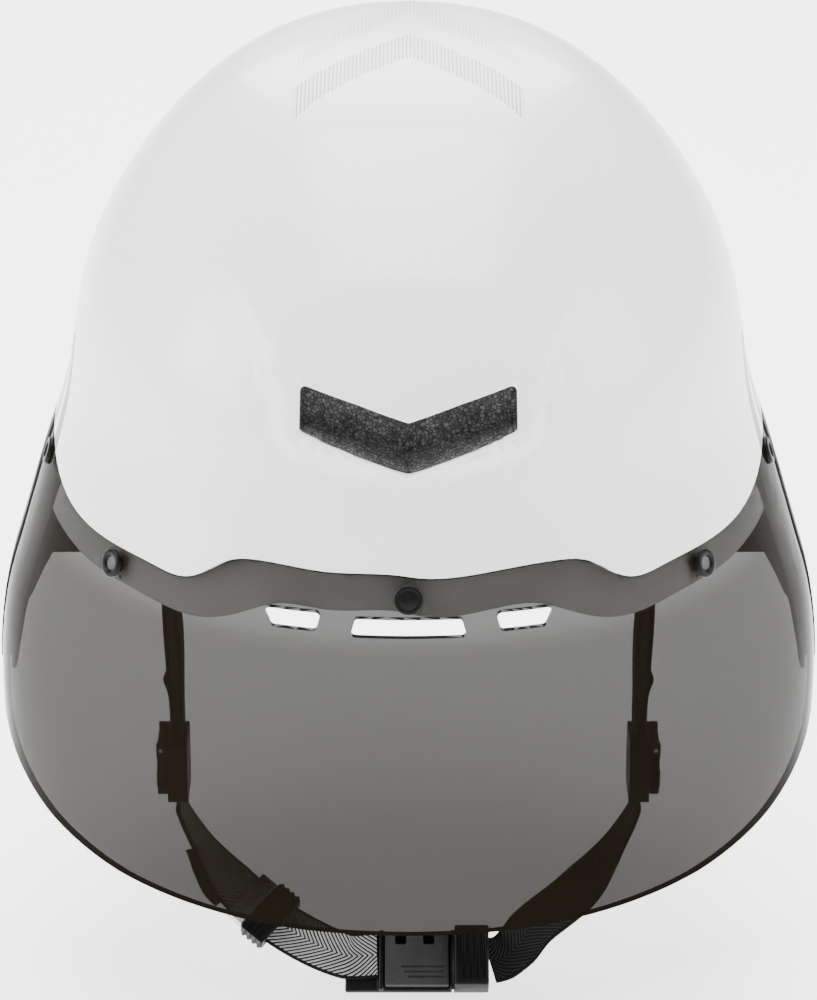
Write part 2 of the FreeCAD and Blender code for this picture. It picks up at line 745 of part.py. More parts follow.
def build_buttons():
    """Buttons through the lens, a magnet in each, and steel discs in the rim behind them."""
    sink = size("visor_sink")
    proud = size("button_proud")
    foot = -sink - size("visor_wall")
    places = button_places()
    heads = []
    magnets = []
    keepers = []
    for index, (centre, normal) in enumerate(places):
        stem = button_disc(centre, normal, size("stem_radius"), foot, -sink + 0.2)
        head = button_disc(centre, normal, size("button_radius"), -sink + 0.12, -sink + proud)
        seat = button_disc(centre, normal, size("magnet_radius") + size("running_gap"), foot,
                           foot + size("magnet_height"))
        button = head.fuse(stem).cut(seat)
        if index:
            dish = button_disc(centre, normal, size("button_radius") * 0.62,
                               -sink + proud - 0.5, 5.0)
            button = button.cut(dish)
        heads.append(button)
        magnets.append(button_disc(centre, normal, size("magnet_radius"), foot,
                                   foot + size("magnet_height")))
        keepers.append(button_disc(centre, normal, size("keeper_radius"),
                                   -size("visor_recess") - size("keeper_height"),
                                   -size("visor_recess") - 0.05))
    feature("visor_button_front", heads[0])
    feature("visor_buttons_side", Part.makeCompound(heads[1:]))
    feature("visor_magnets", Part.makeCompound(magnets))
    feature("rim_keepers", Part.makeCompound(keepers))


# ---------------------------------------------------------------- fit system

def fit_height(along):
    """Height of the fit system's middle line at a place along Y."""
    return size("fit_front_z") - (along - size("fit_front_y")) * math.tan(fit_angle())


def fit_angle():
    return math.radians(size("fit_slope"))


def fit_slab(front, rear, height, half_width=FAR / 2):
    """Block along the tilted fit line, between two distances behind the temple anchor."""
    slab = Part.makeBox(2 * half_width, rear - front, height,
                        Vector(-half_width, front, -height / 2))
    slab.rotate(Vector(0, 0, 0), X_AXIS, -size("fit_slope"))
    slab.translate(Vector(0, size("fit_front_y"), size("fit_front_z")))
    return slab


def slice_of_cavity(inset, wall, zone):
    """A strip that follows the head cavity's wall."""
    return form(inset, True).common(zone).cut(form(inset + wall, True))


def half_space(side):
    return box((0, FAR), (-FAR, FAR), (-FAR, FAR)) if side > 0 else box(
        (-FAR, 0), (-FAR, FAR), (-FAR, FAR))


def build_temple_bands():
    """Bands fixed at the temples, which the cradle slides along, and their studs."""
    inset = size("band_inset")
    zone = fit_slab(0.0, size("band_length"), size("band_height"))
    cavity = Locator(0.0, True)
    studs = []
    for label, side in (("temple_band_left", -1), ("temple_band_right", 1)):
        strip = slice_of_cavity(inset, size("band_wall"), zone.common(half_space(side)))
        along = size("fit_front_y") + size("band_height") / 2
        angle = side * cavity.angle_at(along, fit_height(along))
        spot = cavity.point(angle, fit_height(along))
        normal = cavity.outward(angle, fit_height(along))
        radius = size("anchor_radius")
        hole = button_disc(spot, normal, radius / 2 + size("running_gap"), -FAR / 8, 0.0)
        feature(label, strip.cut(hole))
        head = button_disc(spot, normal, radius, -inset - size("band_wall") - 1.6,
                           -inset - size("band_wall") - 0.25)
        shank = button_disc(spot, normal, radius / 2, -inset - size("band_wall") - 0.4, -0.3)
        studs.append(head.fuse(shank))
    feature("temple_studs", Part.makeCompound(studs))


def cradle_inset():
    return size("band_inset") + size("band_wall") + size("cradle_gap")


def build_cradle():
    """Rear cradle, its pads and the nape plate, all following the cavity."""
    inset = cradle_inset()
    wall = size("cradle_wall")
    zone = fit_slab(size("cradle_start"), FAR, size("cradle_height"))
    window = cradle_window()
    feature("cradle", slice_of_cavity(inset, wall, zone).cut(window))
    inset += wall + size("pad_gap")
    for label, side in (("cradle_pad_left", -1), ("cradle_pad_right", 1)):
        patch = fit_slab(size("cradle_start") + size("pad_span_start"),
                         size("cradle_start") + size("pad_span_end"),
                         size("cradle_height") - 2)
        feature(label, slice_of_cavity(inset, size("rear_pad_wall"),
                                       patch.common(half_space(side))))
    half = size("nape_width") / 2
    middle = fit_height(housing_face())
    tall = size("nape_height")
    outline = [(-half, middle + 5), (-half * 0.45, middle + tall / 2),
               (half * 0.45, middle + tall / 2), (half, middle + 5),
               (half, middle - 7), (half * 0.3, middle - tall / 2), (0, middle - tall / 3),
               (-half * 0.3, middle - tall / 2), (-half, middle - 7)]
    zone = front_prism(outline, 5.0, 0.0, FAR / 2)
    feature("nape_plate", slice_of_cavity(inset, size("nape_wall"), zone))


def cradle_window():
    """Hole in the cradle behind the pinion, where the axle's end turns."""
    face = housing_face()
    radius = size("axle_radius") + 1.0
    return Part.makeCylinder(radius, 30.0, Vector(0, face - 20, fit_height(face)), Y_AXIS)


def housing_face():
    """Place along Y of the cradle's outer face at the back."""
    return section_sizes(True)[2] - cradle_inset() + size("bond_gap") + 0.2


def on_housing(out=0.0, across=0.0, up=0.0):
    """Placement whose local Z points backwards from the cradle's rear face."""
    face = housing_face()
    turn = Rotation(X_AXIS, -90)
    return Placement(Vector(across, face + out, fit_height(face) + up), turn)


def build_housing():
    """Dial housing: a rounded shell, hollow towards the cradle, with a bore for the axle."""
    body = new_body("dial_housing")
    outer = sketch_on(body, "XY_Plane", "HousingOutline")
    rectangle(outer, cell("housing_width"), cell("housing_height"))
    block = pad(body, outer, "HousingBlock", cell("housing_depth"))
    block = fillet(body, block, "HousingCorners", cell("housing_corner"), upright)
    hollow = sketch_on(body, "XY_Plane", "HousingHollow")
    rectangle(hollow, f"{cell('housing_width')} - 2 * {cell('housing_wall')}",
              f"{cell('housing_height')} - 2 * {cell('housing_wall')}")
    pocket(body, hollow, "Hollow", f"2 * ({cell('housing_depth')} - {cell('housing_wall')})")
    bore = sketch_on(body, "XY_Plane", "HousingBore")
    circle(bore, f"{cell('axle_radius')} + {cell('running_gap')}")
    pocket(body, bore, "Bore", f"4 * {cell('housing_depth')}")
    body.Placement = on_housing()


def build_dial():
    """Dial with finger grooves and a dished face, on its axle."""
    body = new_body("fit_dial")
    disc = sketch_on(body, "XY_Plane", "DialOutline")
    circle(disc, cell("dial_radius"))
    pad(body, disc, "DialDisc", cell("dial_height"))
    dish = sketch_on(body, "XY_Plane", "DialDish")
    dish.AttachmentOffset = Placement(Vector(0, 0, size("dial_height")), Rotation())
    dish.setExpression("AttachmentOffset.Base.z", cell("dial_height"))
    circle(dish, cell("dial_dish"))
    pocket(body, dish, "Dish", f"{cell('dial_height')} / 4", symmetric=False)
    groove = sketch_on(body, "XY_Plane", "DialGroove")
    circle(groove, cell("grip_radius"), across=cell("dial_radius"))
    cut = pocket(body, groove, "Groove", f"4 * {cell('dial_height')}")
    pattern(body, cut, groove, "Grooves", cell("dial_grips"))
    seat = sketch_on(body, "XY_Plane", "DialSeat")
    circle(seat, f"{cell('axle_radius')}")
    pocket(body, seat, "Seat", f"{cell('dial_height')}")
    body.Placement = on_housing(size("housing_depth") + size("dial_gap"))


def build_pinion():
    """Axle with the pinion that drives both racks."""
    body = new_body("dial_pinion")
    root = sketch_on(body, "XY_Plane", "PinionRoot")
    circle(root, cell("pinion_root"))
    pad(body, root, "PinionDisc", cell("pinion_height"))
    tooth = sketch_on(body, "XY_Plane", "PinionTooth")
    rectangle(tooth, cell("tooth_width"), f"2 * ({cell('pinion_root')} + {cell('tooth_reach')})")
    teeth = pad(body, tooth, "Tooth", cell("pinion_height"))
    pattern(body, teeth, tooth, "Teeth", f"{cell('pinion_teeth')} / 2")
    body.Tip.setExpression("Angle", "180 - 360 / Sizes.pinion_teeth")
    axle = sketch_on(body, "XY_Plane", "PinionAxle")
    circle(axle, cell("axle_radius"))
    pad(body, axle, "Axle", f"{cell('housing_depth')} + {cell('dial_gap')}"
        f" + {cell('dial_height')} / 2 - 1.2")
    body.Placement = on_housing(1.2)


def build_racks():
    """Two toothed strips, one above the pinion and one below, that pull the belts in."""
    reach = size("pinion_root") + size("tooth_reach") + size("rack_gap")
    for label, side in (("rack_upper", 1), ("rack_lower", -1)):
        body = new_body(label)
        bar = sketch_on(body, "XY_Plane", label + "_bar")
        rectangle(bar, cell("rack_length"), cell("rack_bar"))
        pad(body, bar, label + "_strip", cell("pinion_height"))
        pitch = 2 * math.pi * size("mesh_pitch") / size("pinion_teeth")
        end_tooth = size("rack_shift") + pitch / 2
        span = pitch * (size("rack_teeth") - 1)
        lowest = end_tooth - span if side > 0 else -end_tooth
        depth = size("rack_bar") / 2 + size("tooth_reach") / 2
        tooth = sketch_on(body, "XY_Plane", label + "_tooth")
        tooth.AttachmentOffset = Placement(Vector(lowest, side * depth, 0), Rotation())
        rectangle(tooth, cell("rack_tooth"), f"{cell('tooth_reach')} + 0.02")
        first = pad(body, tooth, label + "_first", cell("pinion_height"))
        row_of(body, first, tooth, label + "_teeth", span, cell("rack_teeth"))
        body.Placement = on_housing(1.2, -side * size("rack_shift"),
                                    side * (reach + size("rack_bar") / 2))


# ---------------------------------------------------------------- straps and buckle

def webbing(route):
    """Flat webbing through stations of (point, direction across its width)."""
    sections = []
    half = size("strap_width") / 2
    thick = size("strap_wall") / 2
    points = [Vector(*spot) for spot, _ in route]
    for index, (_, across) in enumerate(route):
        spot = points[index]
        ahead = points[min(index + 1, len(points) - 1)] - points[max(index - 1, 0)]
        ahead.normalize()
        wide = Vector(*across)
        wide = (wide - ahead * wide.dot(ahead)).normalize()
        flat = ahead.cross(wide).normalize()
        corners = [spot + wide * half * a + flat * thick * b
                   for a, b in ((-1, -1), (1, -1), (1, 1), (-1, 1))]
        sections.append(Part.makePolygon(corners + corners[:1]))
    return Part.makeLoft(sections, True, True)


def mirrored(route, side):
    return [((side * x, y, z), (side * a, b, c)) for (x, y, z), (a, b, c) in route]


def divider_end(sign):
    """Height of the webbing's end above or below the divider."""
    return size("divider_z") + sign * (size("divider_height") / 2 + size("strap_gap"))


def chin_route():
    """The right chin strap from its divider to the buckle."""
    x, y = size("strap_side"), size("divider_y")
    low = divider_end(-1)
    tilt = math.radians(size("buckle_tilt"))
    across = (0.0, math.cos(tilt), math.sin(tilt))
    end = Vector(buckle_end(), size("buckle_y"), size("buckle_z"))
    return [((x, y, low), (0, 1, 0)),
            ((x, y, low - 3), (0, 1, 0)),
            ((x - 3.5, y - 2, low - 10), (0, 1, 0.1)),
            ((x - 10, y - 6, low - 19), (0, 0.9, 0.3)),
            ((x - 20, y - 13, low - 29), across),
            ((x - 41, y - 25, low - 42), across),
            ((end.x + 6, end.y, end.z), across),
            ((end.x, end.y, end.z), across)]


def buckle_end():
    return size("buckle_length") / 2 + size("strap_gap")


def build_straps():
    """Webbing from the liner to the dividers and from there to the buckle."""
    x, y = size("strap_side"), size("divider_y")
    top = divider_end(1)
    hang = 3.0
    front = [((x + 7.5, y - 8, 18), (0, 1, 0)), ((x + 7, y - 8, -14), (0, 1, 0)),
             ((x - 1, y - 6, -50), (0, 1, 0)), ((x - 1.2, y, top + hang), (0, 1, 0)),
             ((x - 1.2, y, top), (0, 1, 0))]
    rear = [((x - 5, y + 58, 8), (0, 1, 0.1)), ((x + 2.5, y + 51, -16), (0, 1, 0.3)),
            ((x + 5, y + 40, -42), (0, 1, 0.6)), ((x + 2, y + 14, -82), (0, 1, 0.6)),
            ((x + 1.2, y, top + hang), (0, 1, 0)), ((x + 1.2, y, top), (0, 1, 0))]
    for name, side in (("left", -1), ("right", 1)):
        feature(f"strap_front_{name}", webbing(mirrored(front, side)))
        feature(f"strap_rear_{name}", webbing(mirrored(rear, side)))
        lower = mirrored(chin_route(), side)
        (end, across) = lower[-1]
        lower[-1] = ((end[0] + size("buckle_x"), end[1], end[2]), across)
        feature(f"strap_chin_{name}", webbing(lower))


def build_dividers():
    """Dividers below the ears, each with a cam lever on a pin."""
    for name, side in (("left", -1), ("right", 1)):
        spot = Vector(side * size("strap_side"), size("divider_y"), size("divider_z"))
        body = new_body(f"strap_divider_{name}")
        outline = sketch_on(body, "XY_Plane", f"DividerOutline_{name}")
        rectangle(outline, cell("divider_depth"), cell("divider_height"))
        block = pad(body, outline, f"DividerBlock_{name}", cell("divider_wall"), True)
        fillet(body, block, f"DividerCorners_{name}", cell("divider_corner"), upright)
        slot = sketch_on(body, "XZ_Plane", f"DividerSlot_{name}")
        rectangle(slot, cell("strap_width"), cell("divider_slot"))
        pocket(body, slot, f"Slot_{name}", f"2 * {cell('divider_height')}")
        reach = size("lever_depth") / 2 + size("lever_gap") + size("ear_wall") / 2
        for label, end in (("Front", -reach), ("Rear", reach)):
            ear = sketch_on(body, "XY_Plane", f"Ear{label}_{name}")
            ear.AttachmentOffset = Placement(Vector(end, lever_drop(), 0), Rotation())
            rectangle(ear, cell("ear_wall"), cell("ear_height"))
            pad(body, ear, f"Ear{label}Block_{name}", f"{cell('divider_wall')} / 2"
                f" + {cell('lever_gap')} + {cell('lever_wall')}")
        hole = sketch_on(body, "YZ_Plane", f"EarHole_{name}")
        offset = Vector(lever_drop(), lever_out(), 0)
        hole.AttachmentOffset = Placement(offset, Rotation())
        circle(hole, f"{cell('pin_radius')} + {cell('running_gap')}")
        pocket(body, hole, f"EarHoles_{name}", f"2 * {cell('divider_depth')}")
        body.Placement = Placement(spot, Rotation(Y_AXIS * side, Z_AXIS, X_AXIS * side, "ZXY"))
        build_lever(name, side, spot)


def build_lever(name, side, spot):
    """Cam lever against the divider's outer face: a plate hanging from a barrel on a pin."""
    lever = new_body(f"cam_lever_{name}")
    outline = sketch_on(lever, "XY_Plane", f"LeverOutline_{name}")
    middle = -size("lever_wall") / 4
    outline.AttachmentOffset = Placement(Vector(0, middle, 0), Rotation())
    rectangle(outline, cell("lever_depth"), f"{cell('lever_length')} - {cell('lever_wall')} / 2")
    plate = pad(lever, outline, f"LeverPlate_{name}", cell("lever_wall"), True)
    fillet(lever, plate, f"LeverCorners_{name}", f"{cell('divider_corner')} * 0.8",
           lambda edge: upright(edge) and edge.CenterOfMass.y < middle)
    on_hinge = Placement(Vector(lever_drop(), 0, 0), Rotation())
    barrel = sketch_on(lever, "YZ_Plane", f"LeverBarrel_{name}")
    barrel.AttachmentOffset = on_hinge
    circle(barrel, f"{cell('lever_wall')} / 2")
    pad(lever, barrel, f"Barrel_{name}", cell("lever_depth"), True)
    bore = sketch_on(lever, "YZ_Plane", f"LeverBore_{name}")
    bore.AttachmentOffset = on_hinge
    circle(bore, f"{cell('pin_radius')} + {cell('running_gap')}")
    pocket(lever, bore, f"Bore_{name}", f"2 * {cell('lever_depth')}")
    lever.Placement = Placement(spot + X_AXIS * side * lever_out(),
                                Rotation(Y_AXIS * side, Z_AXIS, X_AXIS * side, "ZXY"))
    half = size("lever_depth") / 2 + size("lever_gap") + size("ear_wall")
    pin = DOC.addObject("Part::Cylinder", f"lever_pin_{name}")
    pin.setExpression("Radius", cell("pin_radius"))
    pin.setExpression("Height", f"{cell('lever_depth')} + 2 * ({cell('lever_gap')}"
                      f" + {cell('ear_wall')})")
    hinge = spot + X_AXIS * side * lever_out() + Z_AXIS * lever_drop()
    pin.Placement = Placement(hinge - Y_AXIS * half, Rotation(X_AXIS, -90))
    keep(pin, f"lever_pin_{name}")


def lever_drop():
    """Hinge line above the lever's middle."""
    return size("lever_length") / 2 - size("lever_wall") / 2


def lever_out():
    """Hinge line's distance from the divider's middle plane."""
    return size("divider_wall") / 2 + size("lever_gap") + size("lever_wall") / 2


def on_buckle(along=0.0, across=0.0, up=0.0):
    """Placement in the buckle's frame: X along the strap, Z away from the chin."""
    base = Placement(Vector(size("buckle_x"), size("buckle_y"), size("buckle_z")),
                     Rotation(X_AXIS, size("buckle_tilt")))
    return base.multiply(Placement(Vector(along, across, up), Rotation()))


def part_box(name, length, width, height, placement):
    """A block centred along X and Y on its placement, standing on it."""
    item = DOC.addObject("Part::Box", name)
    item.setExpression("Length", length)
    item.setExpression("Width", width)
    item.setExpression("Height", height)
    DOC.recompute()
    middle = Placement(Vector(-item.Length.Value / 2, -item.Width.Value / 2, 0), Rotation())
    item.Placement = placement.multiply(middle)
    return item


def build_buckle():
    """Magnetic buckle: a base with ribs and a strap block, and the tongue that slides in."""
    width, floor = cell("buckle_width"), cell("buckle_floor")
    low = -size("buckle_floor")
    rib = size("tongue_length") / 2 + size("tongue_gap") + size("rib_wall") / 2
    block = size("buckle_length") / 2 - size("buckle_block") / 2
    pieces = [part_box("BuckleFloor", cell("buckle_length"), width, floor, on_buckle(up=low)),
              part_box("BuckleRibLeft", cell("rib_wall"), width, cell("rib_tall"),
                       on_buckle(-rib)),
              part_box("BuckleRibRight", cell("rib_wall"), width, cell("rib_tall"),
                       on_buckle(rib)),
              part_box("BuckleBlock", cell("buckle_block"), width, cell("buckle_tall"),
                       on_buckle(block))]
    solid = DOC.addObject("Part::MultiFuse", "BuckleSolid")
    solid.Shapes = pieces
    seat = DOC.addObject("Part::Cylinder", "BuckleMagnetSeat")
    seat.setExpression("Radius", f"{cell('buckle_magnet')} + {cell('running_gap')}")
    seat.setExpression("Height", cell("buckle_magnet_wall"))
    seat.Placement = on_buckle(up=-size("buckle_magnet_wall"))
    base = DOC.addObject("Part::Cut", "buckle_base")
    base.Base = solid
    base.Tool = seat
    keep(base, "buckle_base")
    magnet("buckle_magnet", -size("buckle_magnet_wall"), -0.02)
    build_tongue()


def magnet(label, start, end):
    item = DOC.addObject("Part::Cylinder", label)
    item.setExpression("Radius", cell("buckle_magnet"))
    item.Height = end - start
    item.Placement = on_buckle(up=start)
    keep(item, label)


def build_tongue():
    """Grey tongue plate with two notches, over the base's magnet."""
    lift = size("tongue_gap")
    body = new_body("buckle_tongue")
    outline = sketch_on(body, "XY_Plane", "TongueOutline")
    rectangle(outline, cell("tongue_length"), f"{cell('buckle_width')} - 2")
    plate = pad(body, outline, "TonguePlate", cell("tongue_wall"))
    fillet(body, plate, "TongueCorners", f"{cell('tongue_notch')} / 2", upright)
    for name, side in (("Left", "-1"), ("Right", "1")):
        notch = sketch_on(body, "XY_Plane", f"TongueNotch{name}")
        notch.AttachmentOffset = Placement(Vector(float(side) * size("tongue_length") / 4,
                                                  -size("buckle_width") / 2 + 1, 0), Rotation())
        rectangle(notch, cell("tongue_notch"), f"2 * {cell('tongue_notch')}")
        pocket(body, notch, f"Notch{name}", f"4 * {cell('tongue_wall')}")
    seat = sketch_on(body, "XY_Plane", "TongueSeat")
    circle(seat, f"{cell('buckle_magnet')} + {cell('running_gap')}")
    pocket(body, seat, "Seat", f"2 * {cell('buckle_magnet_wall')}")
    body.Placement = on_buckle(up=lift)
    magnet("tongue_magnet", lift + 0.02, lift + size("buckle_magnet_wall") - 0.05)


def sleeve(length, wall, along):
    """A loop round the left chin strap's straight stretch, at a place along it."""
    route = mirrored(chin_route(), -1)
    (low, across), (high, _) = route[4], route[5]
    start, end = Vector(*low), Vector(*high)
    ahead = (end - start).normalize()
    wide = Vector(*across)
    wide = (wide - ahead * wide.dot(ahead)).normalize()
    turn = Rotation(wide, ahead.cross(wide), ahead, "ZXY")
    loops = []
    for grow in (size("strap_gap") + wall, size("strap_gap")):
        across_size = size("strap_width") + 2 * grow
        thick = size("strap_wall") + 2 * grow
        loops.append(Part.makeBox(across_size, thick, length,
                                  Vector(-across_size / 2, -thick / 2, 0)))
    return loops[0].cut(loops[1]), Placement(start + ahead * along, turn)


def build_strap_fittings():
    """Metal keeper and ribbed slider on the left chin strap."""
    start = 1.5
    feature("strap_keeper", *sleeve(size("keeper_length"), size("keeper_wall"), start))
    start += size("keeper_length") + size("strap_gap")
    feature("strap_slider", *sleeve(size("glide_length"), size("glide_wall"), start))


def check_and_write():
    """Stop on any failed object, then write every sub-part to its own file."""
    DOC.recompute()
    for item in DOC.Objects:
        if any(word in item.State for word in ("Invalid", "Error")):
            raise RuntimeError(f"{item.Label} failed: {item.State}")
    os.makedirs("parts", exist_ok=True)
    for node in NODES:
        if node.Shape.isNull() or not node.Shape.isValid():
            raise RuntimeError(f"{node.Label} has no valid shape")
        node.Shape.exportStep(f"parts/{node.Label}.step")
        print(f"{node.Label:28s} {len(node.Shape.Solids)} solid(s) {node.Shape.Volume:12.1f} mm3")


build_outer_shell()
build_lower_shells()
build_liner()
build_pads()
build_visor()
build_buttons()
build_temple_bands()
build_cradle()
build_housing()
build_dial()
build_pinion()
build_racks()
build_straps()
build_dividers()
build_buckle()
build_strap_fittings()
check_and_write()
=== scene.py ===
"""Looks of a time trial cycling helmet: shells, lens, foam, webbing, fittings and studio.

Every piece is made by an operator, in metres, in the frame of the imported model.
"""

import json
import math

import bpy
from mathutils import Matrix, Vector
from mathutils.bvhtree import BVHTree


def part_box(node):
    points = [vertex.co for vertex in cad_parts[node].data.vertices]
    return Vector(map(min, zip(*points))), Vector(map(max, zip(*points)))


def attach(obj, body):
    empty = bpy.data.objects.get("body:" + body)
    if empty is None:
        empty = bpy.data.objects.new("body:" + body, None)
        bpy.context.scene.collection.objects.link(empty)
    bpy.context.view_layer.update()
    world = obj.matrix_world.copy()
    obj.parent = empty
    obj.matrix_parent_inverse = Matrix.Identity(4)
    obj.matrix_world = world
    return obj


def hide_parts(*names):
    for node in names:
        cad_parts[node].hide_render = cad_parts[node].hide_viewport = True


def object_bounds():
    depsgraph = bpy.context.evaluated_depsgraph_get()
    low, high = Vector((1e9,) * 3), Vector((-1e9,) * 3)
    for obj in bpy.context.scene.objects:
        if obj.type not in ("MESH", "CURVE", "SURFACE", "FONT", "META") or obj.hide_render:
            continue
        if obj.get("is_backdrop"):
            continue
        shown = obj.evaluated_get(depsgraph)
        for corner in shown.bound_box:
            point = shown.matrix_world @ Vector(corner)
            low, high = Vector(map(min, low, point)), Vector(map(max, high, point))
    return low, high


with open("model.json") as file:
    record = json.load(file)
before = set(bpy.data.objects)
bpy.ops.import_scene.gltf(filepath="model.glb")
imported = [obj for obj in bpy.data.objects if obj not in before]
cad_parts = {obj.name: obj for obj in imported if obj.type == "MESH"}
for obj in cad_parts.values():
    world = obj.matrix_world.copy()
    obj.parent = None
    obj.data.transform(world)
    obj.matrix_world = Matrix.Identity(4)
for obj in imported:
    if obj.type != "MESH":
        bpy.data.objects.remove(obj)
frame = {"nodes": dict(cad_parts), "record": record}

bl_info = {
    "name": "Time Trial Helmet",
    "version": (1, 0, 0),
    "blender": (4, 5, 0),
    "location": "View3D > Sidebar > Helmet",
    "description": "Builds the finished surfaces, webbing, fittings and studio of a cycling helmet",
    "category": "Object",
}

MM = 0.001
SIDES = (("left", -1), ("right", 1))

# Printed chevrons: front edge at the middle and its slope, back edge and slope, half width,
# strength. The first is sharp, the second fades over the crown.
CHEVRONS = ((-0.005, 1.15, 0.021, 1.37, 0.034, 1.0), (0.047, 1.73, 0.075, 2.2, 0.0335, 0.45))
# Plain bars on the shell's sides: middle along Y and half width of each, then their middle
# height and half height, their slant, and how far from the middle of the shell they start.
BARS = ((-0.036, 0.0040), (-0.021, 0.0040), (-0.006, 0.0040))
BAR_LEVEL, BAR_HALF = 0.026, 0.020
BAR_SLANT = -0.35
BAR_INNER = 0.070
# Soft edges of the bars and of the chevrons, and the band of height where the dots end.
BAR_EDGE = 0.0002
CHEVRON_EDGE = 0.0003
DOTS_FADE = (0.08, 0.085)

# Tint of the lens, taken once by light that crosses it: on the face that it enters by.
LENS_ALPHA = 0.960
# The same over the rim, set lower so that the shaded rim behind the lens shows lighter: painted
# light, as the lens is no thinner there.
LENS_RIM_LIFT_ALPHA = 0.940
# The band of height where one tint passes into the other.
LENS_RIM_BAND = (-0.012, -0.002)
# The lens's share of the light that it keeps from what is behind it.
LENS_SHADE = 0.02
# A face with less lens than this behind it is a broad face, and the others are cut edges.
LENS_WALL_LIMIT = 0.0034

# Webbing to the fittings that it runs into.
FITTING_GAP = 0.4 * MM
# Steps in each span of a strap's route, and faces across it.
ROUTE_STEPS = 10
WEBBING_COLUMNS = 6

# The buckle's middle, and its turn about X.
BUCKLE = Vector((0.0027, -0.035, -0.163))
BUCKLE_TILT = math.radians(42)

# Edges turned by more than these stay sharp, on skins and on bevelled pieces, and edges
# turned by more than the last are bevelled.
SKIN_ANGLE = math.radians(28)
DETAIL_ANGLE = math.radians(38)
BEVEL_ANGLE = math.radians(32)
# Points of a copy that are closer than this are one point.
WELD = 1e-6

# The foam's ear blocks are cut back here: place on one side, and size.
EAR_CUT_PLACE = (0.095, -0.052, -0.022)
EAR_CUT_SIZE = (0.070, 0.060, 0.042)

# Comfort pads: cell of the remesh, and passes of smoothing.
PAD_CELL = 0.0016
PAD_SMOOTHING = 12

# The buttons' height above the lens, and the dished centre's radius and lowest level.
BUTTON_PROUD = 1.3 * MM
CENTRE_RADIUS = 2.05 * MM
CENTRE_LEVEL = 0.3 * MM

# Nodes that get a piece of their own instead of a smooth skin.
DETAILED = ("buckle_base", "buckle_tongue", "strap_slider", "strap_keeper", "fit_dial",
            "dial_housing", "strap_divider_left", "strap_divider_right", "cam_lever_left",
            "cam_lever_right", "visor_button_front", "visor_buttons_side")
# Rounding of the edges of the detailed pieces.
ROUNDED = {"strap_keeper": 0.3 * MM, "strap_slider": 0.4 * MM, "fit_dial": 0.5 * MM,
           "dial_housing": 0.7 * MM, "cam_lever_left": 0.5 * MM, "cam_lever_right": 0.5 * MM,
           "strap_divider_left": 0.6 * MM, "strap_divider_right": 0.6 * MM}
# Profiles of the lens buttons: (radius, height) in millimetres.
SIDE_PROFILE = ((0.0, 0.55), (2.0, 0.5), (2.2, 0.65), (2.35, 1.1), (2.6, 1.28), (3.4, 1.3),
                (3.95, 1.2), (4.2, 0.9), (4.2, 0.1), (4.0, 0.02), (0.0, 0.02))
FRONT_PROFILE = ((0.0, 1.30), (2.6, 1.30), (2.75, 1.22), (2.95, 1.22), (3.1, 1.30), (3.75, 1.28),
                 (4.05, 1.15), (4.2, 0.85), (4.2, 0.1), (4.0, 0.02), (0.0, 0.02))


# ------------------------------------------------------------------ settings

def colour(name, value, text):
    return bpy.props.FloatVectorProperty(name=name, description=text, subtype="COLOR", size=3,
                                         min=0.0, max=1.0, default=value)


def length(name, value, text):
    return bpy.props.FloatProperty(name=name, description=text, unit="LENGTH", default=value)


class HelmetFinish(bpy.types.PropertyGroup):
    """Colours of the finishes."""
    shell: colour("Shell", (0.80, 0.80, 0.79), "Upper shell's paint")
    bars: colour("Bars", (0.0035, 0.0035, 0.0036), "Plain bars printed on the shell's sides")
    rim: colour("Rim", (0.0075, 0.0075, 0.0080), "Lower shell's moulded colour")
    dots: colour("Dots", (0.030, 0.030, 0.030), "Printed dots on the shell")
    foam: colour("Foam", (0.085, 0.085, 0.087), "Foam beads")
    lens: colour("Lens", (0.0060, 0.0048, 0.0028), "Lens tint")
    lens_edge: colour("Lens edge", (0.004, 0.0038, 0.0033), "Lens's cut edges")
    webbing: colour("Webbing", (0.0040, 0.0040, 0.0043), "Webbing yarn")
    plastic: colour("Plastic", (0.0040, 0.0040, 0.0042), "Buckle and dividers")
    tongue: colour("Tongue", (0.030, 0.030, 0.031), "Buckle tongue")
    metal: colour("Metal", (0.62, 0.62, 0.63), "Strap keeper")
    pad: colour("Pad", (0.0065, 0.0065, 0.0072), "Pad fabric")


class HelmetSizes(bpy.types.PropertyGroup):
    """Sizes of what isn't in the frame."""
    webbing_width: length("Webbing width", 0.015, "Width of the straps")
    webbing_wall: length("Webbing thickness", 0.0014, "Thickness of the straps")
    webbing_side: length("Webbing from the middle", 0.074, "Straps at the dividers, along X")
    dot_pitch: length("Dot pitch", 0.00115, "Spacing of the printed dots")
    floor_drop: length("Floor drop", 0.006, "Floor below the lowest piece")


def finish():
    return bpy.context.scene.helmet_finish


def sizes():
    return bpy.context.scene.helmet_sizes


# ------------------------------------------------------------------ node helpers

